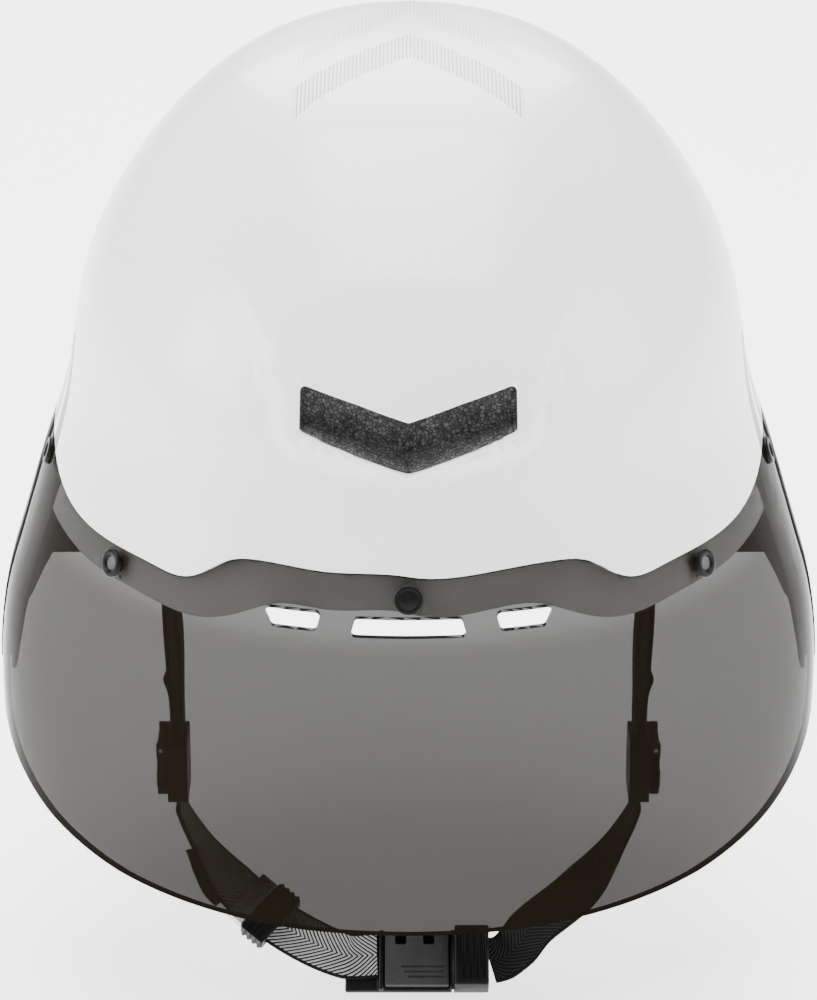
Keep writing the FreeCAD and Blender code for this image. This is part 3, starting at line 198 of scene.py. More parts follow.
class Tree:
    """Short calls for adding and linking shader nodes."""

    def __init__(self, tree):
        self.tree = tree

    def add(self, kind, values=None, **settings):
        node = self.tree.nodes.new(kind)
        for key, value in settings.items():
            setattr(node, key, value)
        for key, value in (values or {}).items():
            if isinstance(value, bpy.types.NodeSocket):
                self.tree.links.new(value, node.inputs[key])
            else:
                node.inputs[key].default_value = value
        return node

    def math(self, operation, first, second=0.0, third=0.0):
        return self.add("ShaderNodeMath", {0: first, 1: second, 2: third},
                        operation=operation).outputs[0]

    def mix(self, factor, first, second):
        node = self.add("ShaderNodeMix", data_type="RGBA")
        for index, value in ((0, factor), (6, first), (7, second)):
            if isinstance(value, bpy.types.NodeSocket):
                self.tree.links.new(value, node.inputs[index])
            else:
                node.inputs[index].default_value = value
        return node.outputs[2]

    def ramp(self, value, low, high, out_low=0.0, out_high=1.0):
        node = self.add("ShaderNodeMapRange", {"Value": value, "From Min": low, "From Max": high,
                                               "To Min": out_low, "To Max": out_high},
                        interpolation_type="SMOOTHSTEP")
        return node.outputs[0]

    def separate(self, vector):
        return self.add("ShaderNodeSeparateXYZ", {0: vector}).outputs

    def noise(self, vector, scale, detail=3.0, roughness=0.5):
        node = self.add("ShaderNodeTexNoise", {"Vector": vector, "Scale": scale, "Detail": detail,
                                               "Roughness": roughness})
        return node.outputs["Fac"]


def group(name, inputs, outputs, build):
    """A shader node group with float inputs and outputs, built once."""
    tree = bpy.data.node_groups.new(name, "ShaderNodeTree")
    for label, kind, value in inputs:
        socket = tree.interface.new_socket(label, in_out="INPUT", socket_type=kind)
        if value is not None:
            socket.default_value = value
    for label, kind in outputs:
        tree.interface.new_socket(label, in_out="OUTPUT", socket_type=kind)
    start = tree.nodes.new("NodeGroupInput")
    end = tree.nodes.new("NodeGroupOutput")
    results = build(Tree(tree), start.outputs)
    for label, socket in results.items():
        tree.links.new(socket, end.inputs[label])
    return tree


FLOAT, VECTOR = "NodeSocketFloat", "NodeSocketVector"


def build_mottle(t, inputs):
    """Slow and fine variation, for tone and roughness."""
    slow = t.noise(inputs["Vector"], inputs["Slow Scale"], 4.0)
    fine = t.noise(inputs["Vector"], inputs["Fine Scale"], 6.0, 0.6)
    tone = t.math("ADD", t.math("MULTIPLY", slow, 0.6), t.math("MULTIPLY", fine, 0.4))
    return {"Tone": t.ramp(tone, 0.35, 0.65), "Fine": fine}


def build_beads(t, inputs):
    """Pressed foam beads: domes with dark joints between them."""
    cell = t.add("ShaderNodeTexVoronoi", {"Vector": inputs["Vector"], "Scale": inputs["Scale"]},
                 feature="DISTANCE_TO_EDGE")
    tone = t.add("ShaderNodeTexVoronoi", {"Vector": inputs["Vector"], "Scale": inputs["Scale"]})
    grey = t.separate(tone.outputs["Color"])[0]
    dome = t.ramp(cell.outputs["Distance"], 0.0, 0.18)
    return {"Height": dome, "Tone": grey}


def build_weave(t, inputs):
    """Herringbone webbing with raised selvedges. U runs along the strap, V across it."""
    u, v, _ = t.separate(inputs["Vector"])
    fold = t.math("ABSOLUTE", t.math("SUBTRACT", v, 0.5))
    lines = t.math("ADD", t.math("MULTIPLY", u, inputs["Threads"]),
                   t.math("MULTIPLY", fold, t.math("MULTIPLY", inputs["Threads"], 1.2)))
    rib = t.math("PINGPONG", lines, 0.5)
    selvedge = t.ramp(fold, 0.44, 0.455)
    cross = t.math("PINGPONG", t.math("MULTIPLY", u, t.math("MULTIPLY", inputs["Threads"], 2.0)),
                   0.5)
    yarn = t.math("PINGPONG", t.math("MULTIPLY", v, 34.0), 0.5)
    diagonal = t.math("ADD", t.math("MULTIPLY", rib, 1.7), t.math("MULTIPLY", yarn, 0.3))
    edge = t.math("MULTIPLY", cross, 2.0)
    height = t.add("ShaderNodeMix", {0: selvedge, 2: diagonal, 3: edge}).outputs[0]
    return {"Height": height, "Rib": t.ramp(rib, 0.17, 0.27), "Selvedge": selvedge}


def build_dots(t, inputs):
    """Grid of round dots in two directions of a flat projection."""
    x, y, _ = t.separate(inputs["Vector"])
    pitch = inputs["Pitch"]
    near = []
    for value in (x, y):
        step = t.math("FRACT", t.math("DIVIDE", value, pitch))
        near.append(t.math("SUBTRACT", step, 0.5))
    square = t.math("ADD", t.math("MULTIPLY", near[0], near[0]),
                    t.math("MULTIPLY", near[1], near[1]))
    reach = t.math("SQRT", square)
    return {"Dots": t.ramp(reach, 0.37, 0.28, 0.0, 1.0)}


def make_groups():
    group("Mottle", [("Vector", VECTOR, None), ("Slow Scale", FLOAT, 20.0),
                     ("Fine Scale", FLOAT, 400.0)],
          [("Tone", FLOAT), ("Fine", FLOAT)], build_mottle)
    group("FoamBeads", [("Vector", VECTOR, None), ("Scale", FLOAT, 320.0)],
          [("Height", FLOAT), ("Tone", FLOAT)], build_beads)
    group("Webbing", [("Vector", VECTOR, None), ("Threads", FLOAT, 9.0)],
          [("Height", FLOAT), ("Rib", FLOAT), ("Selvedge", FLOAT)], build_weave)
    group("DotGrid", [("Vector", VECTOR, None), ("Pitch", FLOAT, 0.0012)],
          [("Dots", FLOAT)], build_dots)


# ------------------------------------------------------------------ materials

FINISHES = {}


class Finish(Tree):
    """A new material with its Principled shader and Object coordinates at hand."""

    def __init__(self, name, **constants):
        self.material = bpy.data.materials.new(name + "_finish")
        FINISHES[name] = self.material
        self.material.use_nodes = True
        super().__init__(self.material.node_tree)
        self.shader = self.tree.nodes["Principled BSDF"]
        coordinates = self.add("ShaderNodeTexCoord")
        self.place = coordinates.outputs["Object"]
        self.uv = coordinates.outputs["UV"]
        for key, value in constants.items():
            self.shader.inputs[key.replace("_", " ")].default_value = value

    def group(self, name, **values):
        node = self.tree.nodes.new("ShaderNodeGroup")
        node.node_tree = bpy.data.node_groups[name]
        for key, value in values.items():
            socket = node.inputs[key.replace("_", " ")]
            if isinstance(value, bpy.types.NodeSocket):
                self.tree.links.new(value, socket)
            else:
                socket.default_value = value
        return node.outputs

    def feed(self, socket, value):
        self.tree.links.new(value, self.shader.inputs[socket])

    def bump(self, height, strength, distance):
        node = self.add("ShaderNodeBump", {"Height": height, "Strength": strength,
                                           "Distance": distance})
        self.feed("Normal", node.outputs[0])


def solid(value, shade=1.0):
    return (value[0] * shade, value[1] * shade, value[2] * shade, 1.0)


def shell_white():
    """Satin white paint with dotted chevrons over the crown and plain bars at the sides."""
    m = Finish("shell_white", Coat_Weight=0.3, Coat_Roughness=0.10)
    mottle = m.group("Mottle", Vector=m.place, Slow_Scale=14.0, Fine_Scale=900.0)
    paint = m.mix(mottle["Tone"], solid(finish().shell, 0.98), solid(finish().shell, 1.02))
    dots = m.group("DotGrid", Vector=m.place, Pitch=sizes().dot_pitch)["Dots"]
    x, y, z = m.separate(m.place)
    reach = m.math("ABSOLUTE", x)
    masks = []
    for front, front_slope, back, back_slope, half, strength in CHEVRONS:
        ahead = m.math("ADD", y, m.math("MULTIPLY", reach, front_slope))
        behind = m.math("ADD", y, m.math("MULTIPLY", reach, back_slope))
        inside = m.math("MULTIPLY", m.ramp(ahead, front - CHEVRON_EDGE, front + CHEVRON_EDGE),
                        m.ramp(behind, back + CHEVRON_EDGE, back - CHEVRON_EDGE))
        width = m.ramp(reach, half, half - 0.0004)
        masks.append(m.math("MULTIPLY", m.math("MULTIPLY", inside, width), strength))
    chevron = m.math("MAXIMUM", masks[0], masks[1])
    above = m.ramp(z, *DOTS_FADE)
    print_mask = m.math("MULTIPLY", m.math("MULTIPLY", chevron, dots), above)
    printed = m.mix(print_mask, paint, solid(finish().dots))
    slanted = m.math("ADD", y, m.math("MULTIPLY", z, BAR_SLANT))
    bars = None
    for middle, half in BARS:
        off = m.math("ABSOLUTE", m.math("SUBTRACT", slanted, middle))
        bar = m.ramp(off, half + BAR_EDGE, half - BAR_EDGE)
        bars = bar if bars is None else m.math("MAXIMUM", bars, bar)
    level = m.math("ABSOLUTE", m.math("SUBTRACT", z, BAR_LEVEL))
    bars = m.math("MULTIPLY", bars, m.ramp(level, BAR_HALF + BAR_EDGE, BAR_HALF - BAR_EDGE))
    bars = m.math("MULTIPLY", bars, m.ramp(reach, BAR_INNER, BAR_INNER + 0.0005))
    m.feed("Base Color", m.mix(bars, printed, solid(finish().bars)))
    m.feed("Roughness", m.ramp(mottle["Fine"], 0.3, 0.7, 0.30, 0.38))
    m.bump(mottle["Fine"], 0.04, 0.0002)
    return m.material


def moulded(name, base, roughness, grain):
    """Moulded plastic with a fine spark texture and handling marks."""
    m = Finish(name, Specular_IOR_Level=0.10)
    mottle = m.group("Mottle", Vector=m.place, Slow_Scale=60.0, Fine_Scale=1800.0)
    m.feed("Base Color", m.mix(mottle["Tone"], solid(base, 0.85), solid(base, 1.25)))
    m.feed("Roughness", m.ramp(mottle["Tone"], 0.0, 1.0, roughness - 0.05, roughness + 0.07))
    m.bump(mottle["Fine"], grain, 0.0002)
    return m.material


def foam_beads():
    """Black pressed foam."""
    m = Finish("foam", Roughness=0.8, Specular_IOR_Level=0.12)
    beads = m.group("FoamBeads", Vector=m.place, Scale=900.0)
    tone = m.mix(beads["Tone"], solid(finish().foam, 0.7), solid(finish().foam, 1.7))
    m.feed("Base Color", m.mix(beads["Height"], solid(finish().foam, 0.35), tone))
    m.bump(beads["Height"], 0.5, 0.0006)
    return m.material


def smoked_lens():
    """Smoked lens: see-through tint with a hard glossy surface, and its dark cut edges."""
    m = Finish("lens", Roughness=0.06, IOR=1.03)
    mottle = m.group("Mottle", Vector=m.place, Slow_Scale=8.0, Fine_Scale=60.0)
    m.feed("Base Color", m.mix(mottle["Tone"], solid(finish().lens, 0.9),
                               solid(finish().lens, 1.1)))
    outer = m.math("SUBTRACT", 1.0, m.add("ShaderNodeNewGeometry").outputs["Backfacing"])
    z = m.separate(m.place)[2]
    seen = m.add("ShaderNodeLightPath").outputs["Is Camera Ray"]
    # Above the band the lens is made more see-through, a painted lift of light on the shaded rim
    # behind it.
    tint = m.ramp(z, *LENS_RIM_BAND, LENS_ALPHA, LENS_RIM_LIFT_ALPHA)
    shade = m.ramp(seen, 0.0, 1.0, LENS_SHADE, tint)
    m.feed("Alpha", m.math("MULTIPLY", shade, outer))
    m.material.surface_render_method = "BLENDED"
    edge = Finish("lens_edge", Roughness=0.25, Specular_IOR_Level=0.2)
    mottle = edge.group("Mottle", Vector=edge.place, Slow_Scale=30.0, Fine_Scale=900.0)
    edge.feed("Base Color", edge.mix(mottle["Tone"], solid(finish().lens_edge, 0.8),
                                     solid(finish().lens_edge, 1.2)))
    return m.material


def knit_pad():
    """Knitted cover of the comfort pads."""
    m = Finish("pad", Roughness=0.95, Specular_IOR_Level=0.1)
    cell = m.add("ShaderNodeTexVoronoi", {"Vector": m.place, "Scale": 900.0})
    mottle = m.group("Mottle", Vector=m.place, Slow_Scale=80.0, Fine_Scale=1500.0)
    m.feed("Base Color", m.mix(mottle["Tone"], solid(finish().pad, 0.75),
                               solid(finish().pad, 1.5)))
    m.bump(cell.outputs["Distance"], 0.5, 0.0004)
    return m.material


def woven(name, line, shine=0.0):
    """Webbing yarn whose raised herringbone lines take a second colour."""
    m = Finish(name, Specular_IOR_Level=0.12)
    weave = m.group("Webbing", Vector=m.uv, Threads=9.0)
    mottle = m.group("Mottle", Vector=m.place, Slow_Scale=90.0, Fine_Scale=2400.0)
    base = m.mix(mottle["Fine"], solid(finish().webbing, 0.5), solid(finish().webbing, 1.5))
    # The raised herringbone lines are coloured lighter than the yarn between them.
    rib_colour = m.mix(mottle["Tone"], solid(line, 0.85), solid(line, 1.1))
    lines = m.math("MULTIPLY", weave["Rib"], m.math("SUBTRACT", 1.0, weave["Selvedge"]))
    m.feed("Base Color", m.mix(lines, base, rib_colour))
    m.feed("Roughness", m.ramp(lines, 0.0, 1.0, 0.9, 0.8 - shine))
    m.bump(weave["Height"], 0.7, 0.0004)
    return m.material


def satin_metal(name, base):
    """Turned or drawn metal with fine streaks along X."""
    m = Finish(name, Metallic=1.0)
    streak = m.add("ShaderNodeMapping", {"Vector": m.place, "Scale": (60.0, 1500.0, 1500.0)})
    mottle = m.group("Mottle", Vector=streak.outputs[0], Slow_Scale=1.0, Fine_Scale=4.0)
    m.feed("Base Color", m.mix(mottle["Tone"], solid(base, 0.85), solid(base, 1.1)))
    m.feed("Roughness", m.ramp(mottle["Fine"], 0.3, 0.7, 0.24, 0.40))
    return m.material


def make_materials():
    f = finish()
    shell_white()
    foam_beads()
    smoked_lens()
    knit_pad()
    moulded("shell_black", f.rim, 0.48, 0.25)
    moulded("button_black", (0.0030, 0.0030, 0.0030), 0.35, 0.08)
    moulded("button_centre", (0.070, 0.070, 0.070), 0.40, 0.08)
    moulded("fit_plastic", (0.0080, 0.0080, 0.0085), 0.5, 0.2)
    moulded("dial", (0.0100, 0.0100, 0.0105), 0.7, 0.4)
    moulded("gear", (0.5, 0.5, 0.49), 0.4, 0.1)
    moulded("strap_plastic", f.plastic, 0.38, 0.15)
    moulded("tongue_grey", f.tongue, 0.36, 0.12)
    woven("webbing", (0.0150, 0.0150, 0.0155))
    woven("webbing_reflective", (0.30, 0.30, 0.305), 0.35)
    satin_metal("magnet", (0.5, 0.5, 0.51))
    satin_metal("pin_steel", (0.45, 0.45, 0.46))
    satin_metal("keeper_metal", f.metal)


# ------------------------------------------------------------------ mesh helpers

BODY_OF = {node: body for body, nodes in frame["record"]["behaviour"]["bodies"].items()
           for node in nodes}
SLOT_OF = {part["node"]: part["material_slot"] for part in frame["record"]["subparts"]}


def alone(piece):
    """Make one object the only selected and the active one."""
    bpy.ops.object.select_all(action="DESELECT")
    piece.select_set(True)
    bpy.context.view_layer.objects.active = piece


def settle(piece, body, material, nodes=()):
    """Give a finished piece its material and its body, and hide the CAD nodes that it stands for."""
    piece.data.materials.clear()
    piece.data.materials.append(FINISHES[material])
    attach(piece, body)
    if nodes:
        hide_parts(*nodes)
    return piece


def copy_of(node, name):
    """A welded copy of a CAD node, with smooth faces and sharp edges kept."""
    source = frame["nodes"][node]
    piece = bpy.data.objects.new(name, source.data.copy())
    bpy.context.scene.collection.objects.link(piece)
    alone(piece)
    bpy.ops.object.mode_set(mode="EDIT")
    bpy.ops.mesh.select_all(action="SELECT")
    bpy.ops.mesh.remove_doubles(threshold=WELD)
    bpy.ops.object.mode_set(mode="OBJECT")
    bpy.ops.object.shade_smooth_by_angle(angle=SKIN_ANGLE, keep_sharp_edges=False)
    return piece


def even_normals(piece):
    """Let the large faces set the shading next to small ones."""
    alone(piece)
    weigh = piece.modifiers.new("Weigh", "WEIGHTED_NORMAL")
    weigh.keep_sharp = True
    weigh.weight = 80
    bpy.ops.object.modifier_apply(modifier="Weigh")
    return piece


def weld_skin(node):
    """A smooth skin over one CAD node; the foam's is cut back where the ear blocks end."""
    slot = SLOT_OF[node]
    piece = copy_of(node, node + "_skin")
    if node == "foam_liner":
        x, y, z = EAR_CUT_PLACE
        for _, sign in SIDES:
            trim(piece, block("ear_cut", (sign * x, y, z), EAR_CUT_SIZE), "DIFFERENCE")
        smooth_again(piece)
    return settle(even_normals(piece), BODY_OF[node], slot, (node,))


# ------------------------------------------------------------------ pieces

class HELMET_OT_shells(bpy.types.Operator):
    """Smooth skins over the shells, foam, lens and small moulded pieces"""
    bl_idname = "helmet.shells"
    bl_label = "Shells and fittings"

    def execute(self, context):
        for node in frame["nodes"]:
            if SLOT_OF[node] not in ("webbing", "pad") and node not in DETAILED:
                weld_skin(node)
        cut_edges(bpy.data.objects["visor_lens_skin"])
        return {"FINISHED"}


def cut_edges(lens):
    """Give the lens's cut edges their own dark finish."""
    lens.data.materials.append(FINISHES["lens_edge"])
    tree = BVHTree.FromObject(lens, bpy.context.evaluated_depsgraph_get())
    for face in lens.data.polygons:
        inward = -face.normal
        start = face.center + inward * 0.1 * MM
        depth = tree.ray_cast(start, inward, 20 * MM)[3]
        if depth is None or depth > LENS_WALL_LIMIT:
            face.material_index = 1


def lathe(name, profile, centre, normal):
    """A round piece turned from a profile of (radius, height) in millimetres."""
    columns = 72
    rows = len(profile)
    bpy.ops.object.select_all(action="DESELECT")
    bpy.ops.mesh.primitive_grid_add(x_subdivisions=columns, y_subdivisions=rows - 1, size=1.0)
    piece = bpy.context.object
    piece.name = name
    turn = Vector(normal).normalized().to_track_quat("Z", "Y")
    for vertex in piece.data.vertices:
        radius, height = profile[round((vertex.co.y + 0.5) * (rows - 1))]
        angle = math.tau * (vertex.co.x + 0.5)
        spot = Vector((radius * math.cos(angle), radius * math.sin(angle), height)) * MM
        vertex.co = centre + turn @ spot
    bpy.ops.object.mode_set(mode="EDIT")
    bpy.ops.mesh.select_all(action="SELECT")
    bpy.ops.mesh.remove_doubles(threshold=WELD)
    bpy.ops.mesh.normals_make_consistent(inside=False)
    bpy.ops.object.mode_set(mode="OBJECT")
    bpy.ops.object.shade_smooth_by_angle(angle=math.radians(50))
    return piece


def button_seats(node):
    """Where each button of a node stands on the lens: the middle of its seat and its axis."""
    copy = copy_of(node, "seats")
    bpy.ops.object.mode_set(mode="EDIT")
    bpy.ops.mesh.separate(type="LOOSE")
    bpy.ops.object.mode_set(mode="OBJECT")
    seats = []
    for part in list(bpy.context.selected_objects):
        mesh = part.data
        middle = sum((vertex.co for vertex in mesh.vertices), Vector()) / len(mesh.vertices)
        facing = {}
        for face in mesh.polygons:
            key = tuple(round(c, 2) for c in face.normal)
            if face.normal.dot(middle) > 0:
                facing[key] = facing.get(key, 0.0) + face.area
        normal = Vector(max(facing, key=facing.get)).normalized()
        reach = max(vertex.co.dot(normal) for vertex in mesh.vertices)
        flat = [v.co for v in mesh.vertices if v.co.dot(normal) > reach - 0.1 * MM]
        top = sum(flat, Vector()) / len(flat)
        seats.append((top - normal * BUTTON_PROUD, normal))
        bpy.data.objects.remove(part)
    return seats


def bevelled(node, width, segments=3, name=None):
    """A welded copy with its flat faces made whole and its edges rounded."""
    piece = copy_of(node, name or node + "_detail")
    bpy.ops.object.mode_set(mode="EDIT")
    bpy.ops.mesh.select_all(action="SELECT")
    bpy.ops.mesh.dissolve_limited(angle_limit=math.radians(1.0))
    bpy.ops.object.mode_set(mode="OBJECT")
    edges = piece.modifiers.new("Edges", "BEVEL")
    edges.width = width
    edges.segments = segments
    edges.limit_method = "ANGLE"
    edges.angle_limit = BEVEL_ANGLE
    bpy.ops.object.modifier_apply(modifier="Edges")
    bpy.ops.object.shade_smooth_by_angle(angle=DETAIL_ANGLE, keep_sharp_edges=False)
    return piece


def block(name, place, dims, turn=0.0, round_by=0.0003):
    """A rounded bar, its rotation about X applied."""
    bpy.ops.object.select_all(action="DESELECT")
    bpy.ops.mesh.primitive_cube_add(size=1.0, location=place, rotation=(turn, 0, 0))
    piece = bpy.context.object
    piece.name = name
    piece.scale = dims
    bpy.ops.object.transform_apply(location=True, rotation=True, scale=True)
    edges = piece.modifiers.new("Edges", "BEVEL")
    edges.width = round_by
    edges.segments = 2
    bpy.ops.object.modifier_apply(modifier="Edges")
    return piece


def trim(piece, tool, operation):
    """Cut a tool out of a piece, or fuse it on, and remove the tool."""
    alone(piece)
    boolean = piece.modifiers.new("Boolean", "BOOLEAN")
    boolean.operation = operation
    boolean.object = tool
    boolean.solver = "EXACT"
    bpy.ops.object.modifier_apply(modifier="Boolean")
    bpy.data.objects.remove(tool)


def on_buckle(along, across, up):
    """A place in the buckle's own directions: along the strap, across it and away from it."""
    cosine, sine = math.cos(BUCKLE_TILT), math.sin(BUCKLE_TILT)
    return BUCKLE + Vector((along, across * cosine - up * sine, across * sine + up * cosine))


class HELMET_OT_buckle(bpy.types.Operator):
    """Buckle base and slotted tongue"""
    bl_idname = "helmet.buckle"
    bl_label = "Buckle"

    def execute(self, context):
        settle(buckle_base(), BODY_OF["buckle_base"], "strap_plastic", nodes=("buckle_base",))
        settle(buckle_tongue(), BODY_OF["buckle_tongue"], "tongue_grey",
               nodes=("buckle_tongue",))
        return {"FINISHED"}


def buckle_cut(piece, name, place, dims, round_by):
    """A rounded pocket in a piece of the buckle, at a place in the buckle's directions."""
    trim(piece, block(name, on_buckle(*place), dims, BUCKLE_TILT, round_by), "DIFFERENCE")


def buckle_base():
    """The base, with four grip grooves and the split in its front wall."""
    base = bevelled("buckle_base", 0.9 * MM)
    first, pitch = 15.0 * MM, 2.2 * MM
    for step in range(4):
        buckle_cut(base, "groove", (first + step * pitch, 0, 7.1 * MM),
                   (0.9 * MM, 16 * MM, 0.8 * MM), 0.2 * MM)
    buckle_cut(base, "split", (11.5 * MM, -10.0 * MM, -1.2 * MM),
               (0.6 * MM, 3 * MM, 5 * MM), 0.1 * MM)
    smooth_again(base)
    return base


def buckle_tongue():
    """The tongue: a plate with two notches in its upper edge and three pressed lines."""
    tongue = block("buckle_tongue_detail", on_buckle(0, 0, 1.55 * MM),
                   (20.5 * MM, 18 * MM, 2.6 * MM), BUCKLE_TILT, 0.5 * MM)
    for along in (-5.2 * MM, 3.8 * MM):
        buckle_cut(tongue, "notch", (along, 8.2 * MM, 1.5 * MM),
                   (3.6 * MM, 7.0 * MM, 6 * MM), 0.7 * MM)
    first, shift, pitch, wide = 2.0 * MM, 0.6 * MM, 1.7 * MM, 14.0 * MM
    for step in range(3):
        buckle_cut(tongue, "slot", (first + step * shift, -2.8 * MM - step * pitch, 2.9 * MM),
                   (wide - step * MM, 0.7 * MM, 1.2 * MM), 0.1 * MM)
    smooth_again(tongue)
    return tongue


def smooth_again(piece):
    """Shade a piece anew after it has been cut."""
    alone(piece)
    bpy.ops.object.shade_smooth_by_angle(angle=DETAIL_ANGLE, keep_sharp_edges=False)


class HELMET_OT_fittings(bpy.types.Operator):
    """Dividers, levers, strap fittings, dial and lens buttons with rounded edges"""
    bl_idname = "helmet.fittings"
    bl_label = "Fittings"

    def execute(self, context):
        for node, width in ROUNDED.items():
            piece = bevelled(node, width)
            if node.startswith("cam_lever"):
                ridges(piece, node)
            if node == "strap_slider":
                slider_ribs(piece)
            settle(piece, BODY_OF[node], SLOT_OF[node], nodes=(node,))
        for node, profile in (("visor_button_front", FRONT_PROFILE),
                              ("visor_buttons_side", SIDE_PROFILE)):
            for number, (spot, normal) in enumerate(button_seats(node)):
                button = lathe(f"{node}_{number}", profile, spot, normal)
                settle(button, BODY_OF[node], "button_black", nodes=(node,))
                if node == "visor_buttons_side":
                    centre_disc(button, spot, normal)
        return {"FINISHED"}


def centre_disc(button, spot, normal):
    """The grey dished centre of a side button."""
    button.data.materials.append(FINISHES["button_centre"])
    for face in button.data.polygons:
        away = face.center - spot
        up = away.dot(normal)
        if (away - normal * up).length < CENTRE_RADIUS and up > CENTRE_LEVEL:
            face.material_index = 1


def ridges(piece, node):
    """Three finger ridges across the lever's lower end."""
    low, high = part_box(node)
    side = 1 if low[0] + high[0] > 0 else -1
    face = max(abs(low[0]), abs(high[0]))
    first, pitch = 3 * MM, 2 * MM
    for step in range(3):
        bar = block("ridge",
                    (side * face, (low[1] + high[1]) / 2, low[2] + first + step * pitch),
                    (1.0 * MM, 9 * MM, 0.9 * MM), 0.0, 0.3 * MM)
        trim(piece, bar, "UNION")
    smooth_again(piece)


def slider_ribs(piece):
    """Raised ribs round the strap slider, square to the strap."""
    ahead, wide, flat, middle = slider_axes()
    wall, width, depth, pitch = 1.0 * MM, 20.2 * MM, 6.2 * MM, 2.1 * MM
    for step in (-1.5, -0.5, 0.5, 1.5):
        bpy.ops.object.select_all(action="DESELECT")
        bpy.ops.mesh.primitive_cube_add(size=1.0)
        rib = bpy.context.object
        for vertex in rib.data.vertices:
            a, b, c = vertex.co
            vertex.co = (middle + ahead * (a * wall + step * pitch) + wide * b * width
                         + flat * c * depth)
        trim(piece, rib, "UNION")
    smooth_again(piece)


def slider_axes():
    """The slider's directions along the strap, across it and through it, and its middle."""
    route = strap_route("chin", -1)
    start, end = Vector(route[4][0]), Vector(route[5][0])
    ahead = (end - start).normalized()
    wide = Vector(route[4][1])
    wide = (wide - ahead * wide.dot(ahead)).normalized()
    low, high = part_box("strap_slider")
    middle = (Vector(low) + Vector(high)) / 2
    return ahead, wide, ahead.cross(wide), middle


class HELMET_OT_pads(bpy.types.Operator):
    """Comfort pads with soft rounded edges"""
    bl_idname = "helmet.pads"
    bl_label = "Pads"

    def execute(self, context):
        for node, slot in SLOT_OF.items():
            if slot != "pad":
                continue
            piece = copy_of(node, node + "_cover")
            alone(piece)
            remesh = piece.modifiers.new("Remesh", "REMESH")
            remesh.mode = "VOXEL"
            remesh.voxel_size = PAD_CELL
            bpy.ops.object.modifier_apply(modifier="Remesh")
            smooth = piece.modifiers.new("Smooth", "SMOOTH")
            smooth.iterations = PAD_SMOOTHING
            bpy.ops.object.modifier_apply(modifier="Smooth")
            bpy.ops.object.shade_smooth()
            settle(piece, BODY_OF[node], "pad", (node,))
        return {"FINISHED"}


def smooth_route(points, steps, spans):
    """Points evenly stepped in each span of a curve; spans are the lengths of its spans."""
    slopes = []
    for i in range(len(points)):
        low, high = max(i - 1, 0), min(i + 1, len(points) - 1)
        slopes.append((points[high] - points[low]) / sum(spans[low:high]))
    out = []
    for i, span in enumerate(spans):
        for k in range(steps):
            t = k / steps
            out.append(points[i] * (2 * t ** 3 - 3 * t * t + 1)
                       + slopes[i] * span * (t ** 3 - 2 * t * t + t)
                       + points[i + 1] * (3 * t * t - 2 * t ** 3)
                       + slopes[i + 1] * span * (t ** 3 - t * t))
    out.append(points[-1])
    return out


class HELMET_OT_straps(bpy.types.Operator):
    """Webbing from the liner to the dividers and on to the buckle"""
    bl_idname = "helmet.straps"
    bl_label = "Webbing"

    def execute(self, context):
        for name in ("front", "rear", "chin"):
            for side, sign in SIDES:
                reflective = name == "chin" and side == "left"
                material = "webbing_reflective" if reflective else "webbing"
                node = f"strap_{name}_{side}"
                weave_strap(node, strap_route(name, sign), material)
        weave_strap("strap_chin_left", folded_end(), "webbing", "strap_end_tab", False)
        return {"FINISHED"}


def folded_end():
    """Route of the loose strap end, folded back outside the left chin strap."""
    route = strap_route("chin", -1)
    points = [Vector(spot) for spot, _ in route[3:5]]
    across = route[3][1]
    away = Vector((-3.4, -1.0, -1.6)) * MM
    stations = ((-0.25, 0.55), (0.15, 1.0), (0.55, 1.25), (0.95, 1.1))
    return [(tuple(points[0].lerp(points[1], share) + away * lift), across)
            for share, lift in stations]


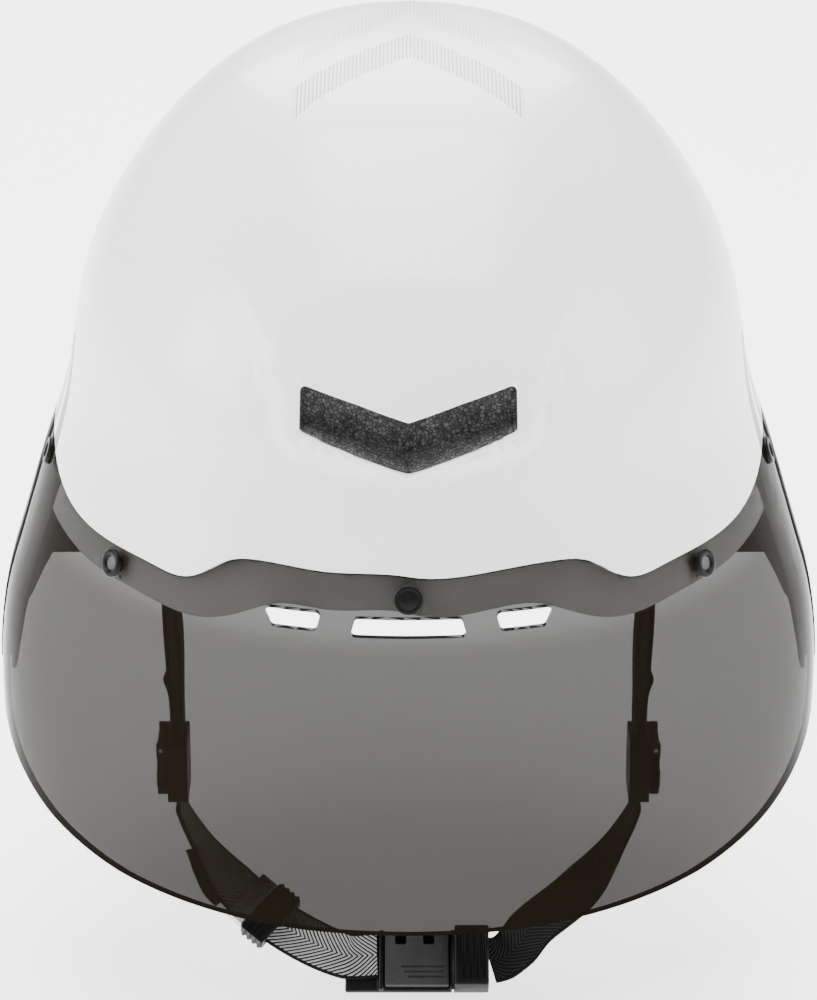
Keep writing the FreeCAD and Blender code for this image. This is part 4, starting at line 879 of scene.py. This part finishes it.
def strap_route(name, sign):
    """Route of one strap: (point, across) from top to bottom, in metres."""
    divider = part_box(f"strap_divider_{'left' if sign < 0 else 'right'}")
    x = sizes().webbing_side
    y = (divider[0][1] + divider[1][1]) / 2
    top = divider[1][2] + FITTING_GAP
    low = divider[0][2] - FITTING_GAP
    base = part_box("buckle_base")
    across = (0, math.cos(BUCKLE_TILT), math.sin(BUCKLE_TILT))
    routes = {
        "front": [((x + 7.5 * MM, y - 8 * MM, 0.018), (0, 1, 0)),
                  ((x + 7 * MM, y - 8 * MM, -0.014), (0, 1, 0)),
                  ((x - 1 * MM, y - 6 * MM, -0.050), (0, 1, 0)),
                  ((x - 1.2 * MM, y, top + 3 * MM), (0, 1, 0)),
                  ((x - 1.2 * MM, y, top), (0, 1, 0))],
        "rear": [((x - 5 * MM, y + 58 * MM, 0.008), (0, 1, 0.1)),
                 ((x + 2.5 * MM, y + 51 * MM, -0.016), (0, 1, 0.3)),
                 ((x + 5 * MM, y + 40 * MM, -0.042), (0, 1, 0.6)),
                 ((x + 2 * MM, y + 14 * MM, -0.082), (0, 1, 0.6)),
                 ((x + 1.2 * MM, y, top + 3 * MM), (0, 1, 0)),
                 ((x + 1.2 * MM, y, top), (0, 1, 0))],
        "chin": [((x, y, low), (0, 1, 0)),
                 ((x, y, low - 3 * MM), (0, 1, 0)),
                 ((x - 3.5 * MM, y - 2 * MM, low - 10 * MM), (0, 1, 0.1)),
                 ((x - 10 * MM, y - 6 * MM, low - 19 * MM), (0, 0.9, 0.3)),
                 ((x - 20 * MM, y - 13 * MM, low - 29 * MM), across),
                 ((x - 34 * MM, y - 20 * MM, low - 38 * MM), across)],
    }
    route = [((sign * p[0], p[1], p[2]), (sign * a[0], a[1], a[2])) for p, a in routes[name]]
    if name == "chin":
        if sign > 0:
            edge = base[1][0] + FITTING_GAP
            route.append(((edge + 8.5 * MM, BUCKLE.y + 3.2 * MM, BUCKLE.z + 3.4 * MM), across))
            route.append(((edge + 4.2 * MM, BUCKLE.y + 1.0 * MM, BUCKLE.z + 0.8 * MM), across))
            route.append(((edge, BUCKLE.y, BUCKLE.z), across))
        else:
            for along in (-0.0235, -0.0128):
                route.append((tuple(on_buckle(along, 0.0015, 0.0012)), across))
    return route


def square_to(points, widths):
    """Width directions turned square to the route, so that webbing keeps its width."""
    turned = []
    for place, width in enumerate(widths):
        before = points[max(place - 1, 0)]
        after = points[min(place + 1, len(points) - 1)]
        along = (after - before).normalized()
        turned.append((width - along * width.dot(along)).normalized())
    return turned


def weave_strap(node, route, material, name=None, stands_for=True):
    """Webbing as a grid laid along its route, given a thickness and rounded selvedges."""
    stations = [Vector(spot) for spot, _ in route]
    spans = [(b - a).length for a, b in zip(stations, stations[1:])]
    points = smooth_route(stations, ROUTE_STEPS, spans)
    turns = smooth_route([Vector(across) for _, across in route], ROUTE_STEPS, spans)
    widths = square_to(points, turns)
    rows = len(points)
    bpy.ops.object.select_all(action="DESELECT")
    bpy.ops.mesh.primitive_grid_add(x_subdivisions=WEBBING_COLUMNS, y_subdivisions=rows - 1,
                                    size=1.0)
    piece = bpy.context.object
    piece.name = name or node + "_webbing"
    half = sizes().webbing_width / 2
    mesh = piece.data
    layer = mesh.uv_layers.active
    order = {}
    for vertex in mesh.vertices:
        row = round((vertex.co.y + 0.5) * (rows - 1))
        share = vertex.co.x * 2
        order[vertex.index] = (row, share)
    run = 0.0
    runs = [0.0]
    for a, b in zip(points, points[1:]):
        run += (b - a).length
        runs.append(run)
    for vertex in mesh.vertices:
        row, share = order[vertex.index]
        vertex.co = points[row] + widths[row] * half * share
    for loop in mesh.loops:
        row, share = order[loop.vertex_index]
        layer.data[loop.index].uv = (runs[row] / sizes().webbing_width, share / 2 + 0.5)
    alone(piece)
    wall = piece.modifiers.new("Wall", "SOLIDIFY")
    wall.thickness = sizes().webbing_wall
    wall.offset = 0.0
    round_edges = piece.modifiers.new("Edges", "BEVEL")
    round_edges.width = sizes().webbing_wall * 0.4
    round_edges.segments = 3
    for modifier in ("Wall", "Edges"):
        bpy.ops.object.modifier_apply(modifier=modifier)
    bpy.ops.object.shade_smooth_by_angle(angle=math.radians(40))
    return settle(piece, BODY_OF[node], material, (node,) if stands_for else ())


FLOOR_WIDTH = 12.0
FLOOR_GLOW = 1.8
WORLD_STRENGTH = 0.6
# Lamps: name, place, width and power.
LAMPS = (("Top", (0.0, 0.2, 1.7), 1.4, 75.0),
         ("Front", (0.0, -1.9, 0.9), 1.2, 4.0),
         ("Left", (-1.5, -0.4, 0.6), 0.9, 34.0),
         ("Right", (1.5, -0.4, 0.6), 0.9, 22.0),
         ("Back", (0.0, 1.6, 1.2), 1.4, 45.0))
# Camera: focal length and sensor in millimetres, place, and tilt from straight down.
CAMERA_LENS = 138.24
CAMERA_SENSOR = 36.0
CAMERA_PLACE = (0.0, -1.1226, 0.4361)
CAMERA_TILT = math.radians(68.0)


class HELMET_OT_stage(bpy.types.Operator):
    """Pale floor, soft lights and the camera"""
    bl_idname = "helmet.stage"
    bl_label = "Studio"

    def execute(self, context):
        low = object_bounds()[0][2] - sizes().floor_drop
        bpy.ops.object.select_all(action="DESELECT")
        bpy.ops.mesh.primitive_plane_add(size=FLOOR_WIDTH, location=(0, 0, low))
        floor = context.object
        floor.name = "floor"
        m = Finish("floor", Roughness=0.9, Emission_Color=(1, 1, 1, 1), Emission_Strength=FLOOR_GLOW)
        mottle = m.group("Mottle", Vector=m.place, Slow_Scale=2.0, Fine_Scale=60.0)
        m.feed("Base Color", m.mix(mottle["Tone"], (0.90, 0.90, 0.90, 1), (0.92, 0.92, 0.92, 1)))
        floor.data.materials.append(m.material)
        floor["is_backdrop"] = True
        for name, place, size, power in LAMPS:
            lamp(name, place, size, power)
        world = bpy.data.worlds.new("studio")
        world.use_nodes = True
        background = world.node_tree.nodes["Background"]
        background.inputs["Color"].default_value = (1, 1, 1, 1)
        background.inputs["Strength"].default_value = WORLD_STRENGTH
        context.scene.world = world
        data = bpy.data.cameras.new("camera")
        data.lens = CAMERA_LENS
        data.sensor_width = CAMERA_SENSOR
        camera = bpy.data.objects.new("camera", data)
        camera.location = CAMERA_PLACE
        camera.rotation_euler = (CAMERA_TILT, 0.0, 0.0)
        context.scene.collection.objects.link(camera)
        context.scene.camera = camera
        return {"FINISHED"}


def lamp(name, place, size, power):
    """A square soft light that faces the helmet's middle."""
    data = bpy.data.lights.new(name, "AREA")
    data.size = size
    data.energy = power
    light = bpy.data.objects.new(name, data)
    light.location = place
    light.rotation_euler = (-Vector(place)).to_track_quat("-Z", "Y").to_euler()
    bpy.context.scene.collection.objects.link(light)


class HELMET_PT_panel(bpy.types.Panel):
    """Settings and steps of the helmet"""
    bl_idname = "HELMET_PT_panel"
    bl_label = "Time Trial Helmet"
    bl_space_type = "VIEW_3D"
    bl_region_type = "UI"
    bl_category = "Helmet"

    def draw(self, context):
        for group_name in ("helmet_finish", "helmet_sizes"):
            settings = getattr(context.scene, group_name)
            for key in settings.__annotations__:
                self.layout.prop(settings, key)
        for step in STEPS:
            self.layout.operator(step.bl_idname)


STEPS = (HELMET_OT_shells, HELMET_OT_buckle, HELMET_OT_fittings, HELMET_OT_pads,
         HELMET_OT_straps, HELMET_OT_stage)
CLASSES = (HelmetFinish, HelmetSizes) + STEPS + (HELMET_PT_panel,)


def register():
    for item in CLASSES:
        bpy.utils.register_class(item)
    bpy.types.Scene.helmet_finish = bpy.props.PointerProperty(type=HelmetFinish)
    bpy.types.Scene.helmet_sizes = bpy.props.PointerProperty(type=HelmetSizes)


def unregister():
    del bpy.types.Scene.helmet_sizes
    del bpy.types.Scene.helmet_finish
    for item in reversed(CLASSES):
        bpy.utils.unregister_class(item)


def main():
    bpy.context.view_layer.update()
    register()
    make_groups()
    make_materials()
    bpy.ops.helmet.shells()
    bpy.ops.helmet.buckle()
    bpy.ops.helmet.fittings()
    bpy.ops.helmet.pads()
    bpy.ops.helmet.straps()
    bpy.ops.helmet.stage()


if __name__ == "__main__":
    main()
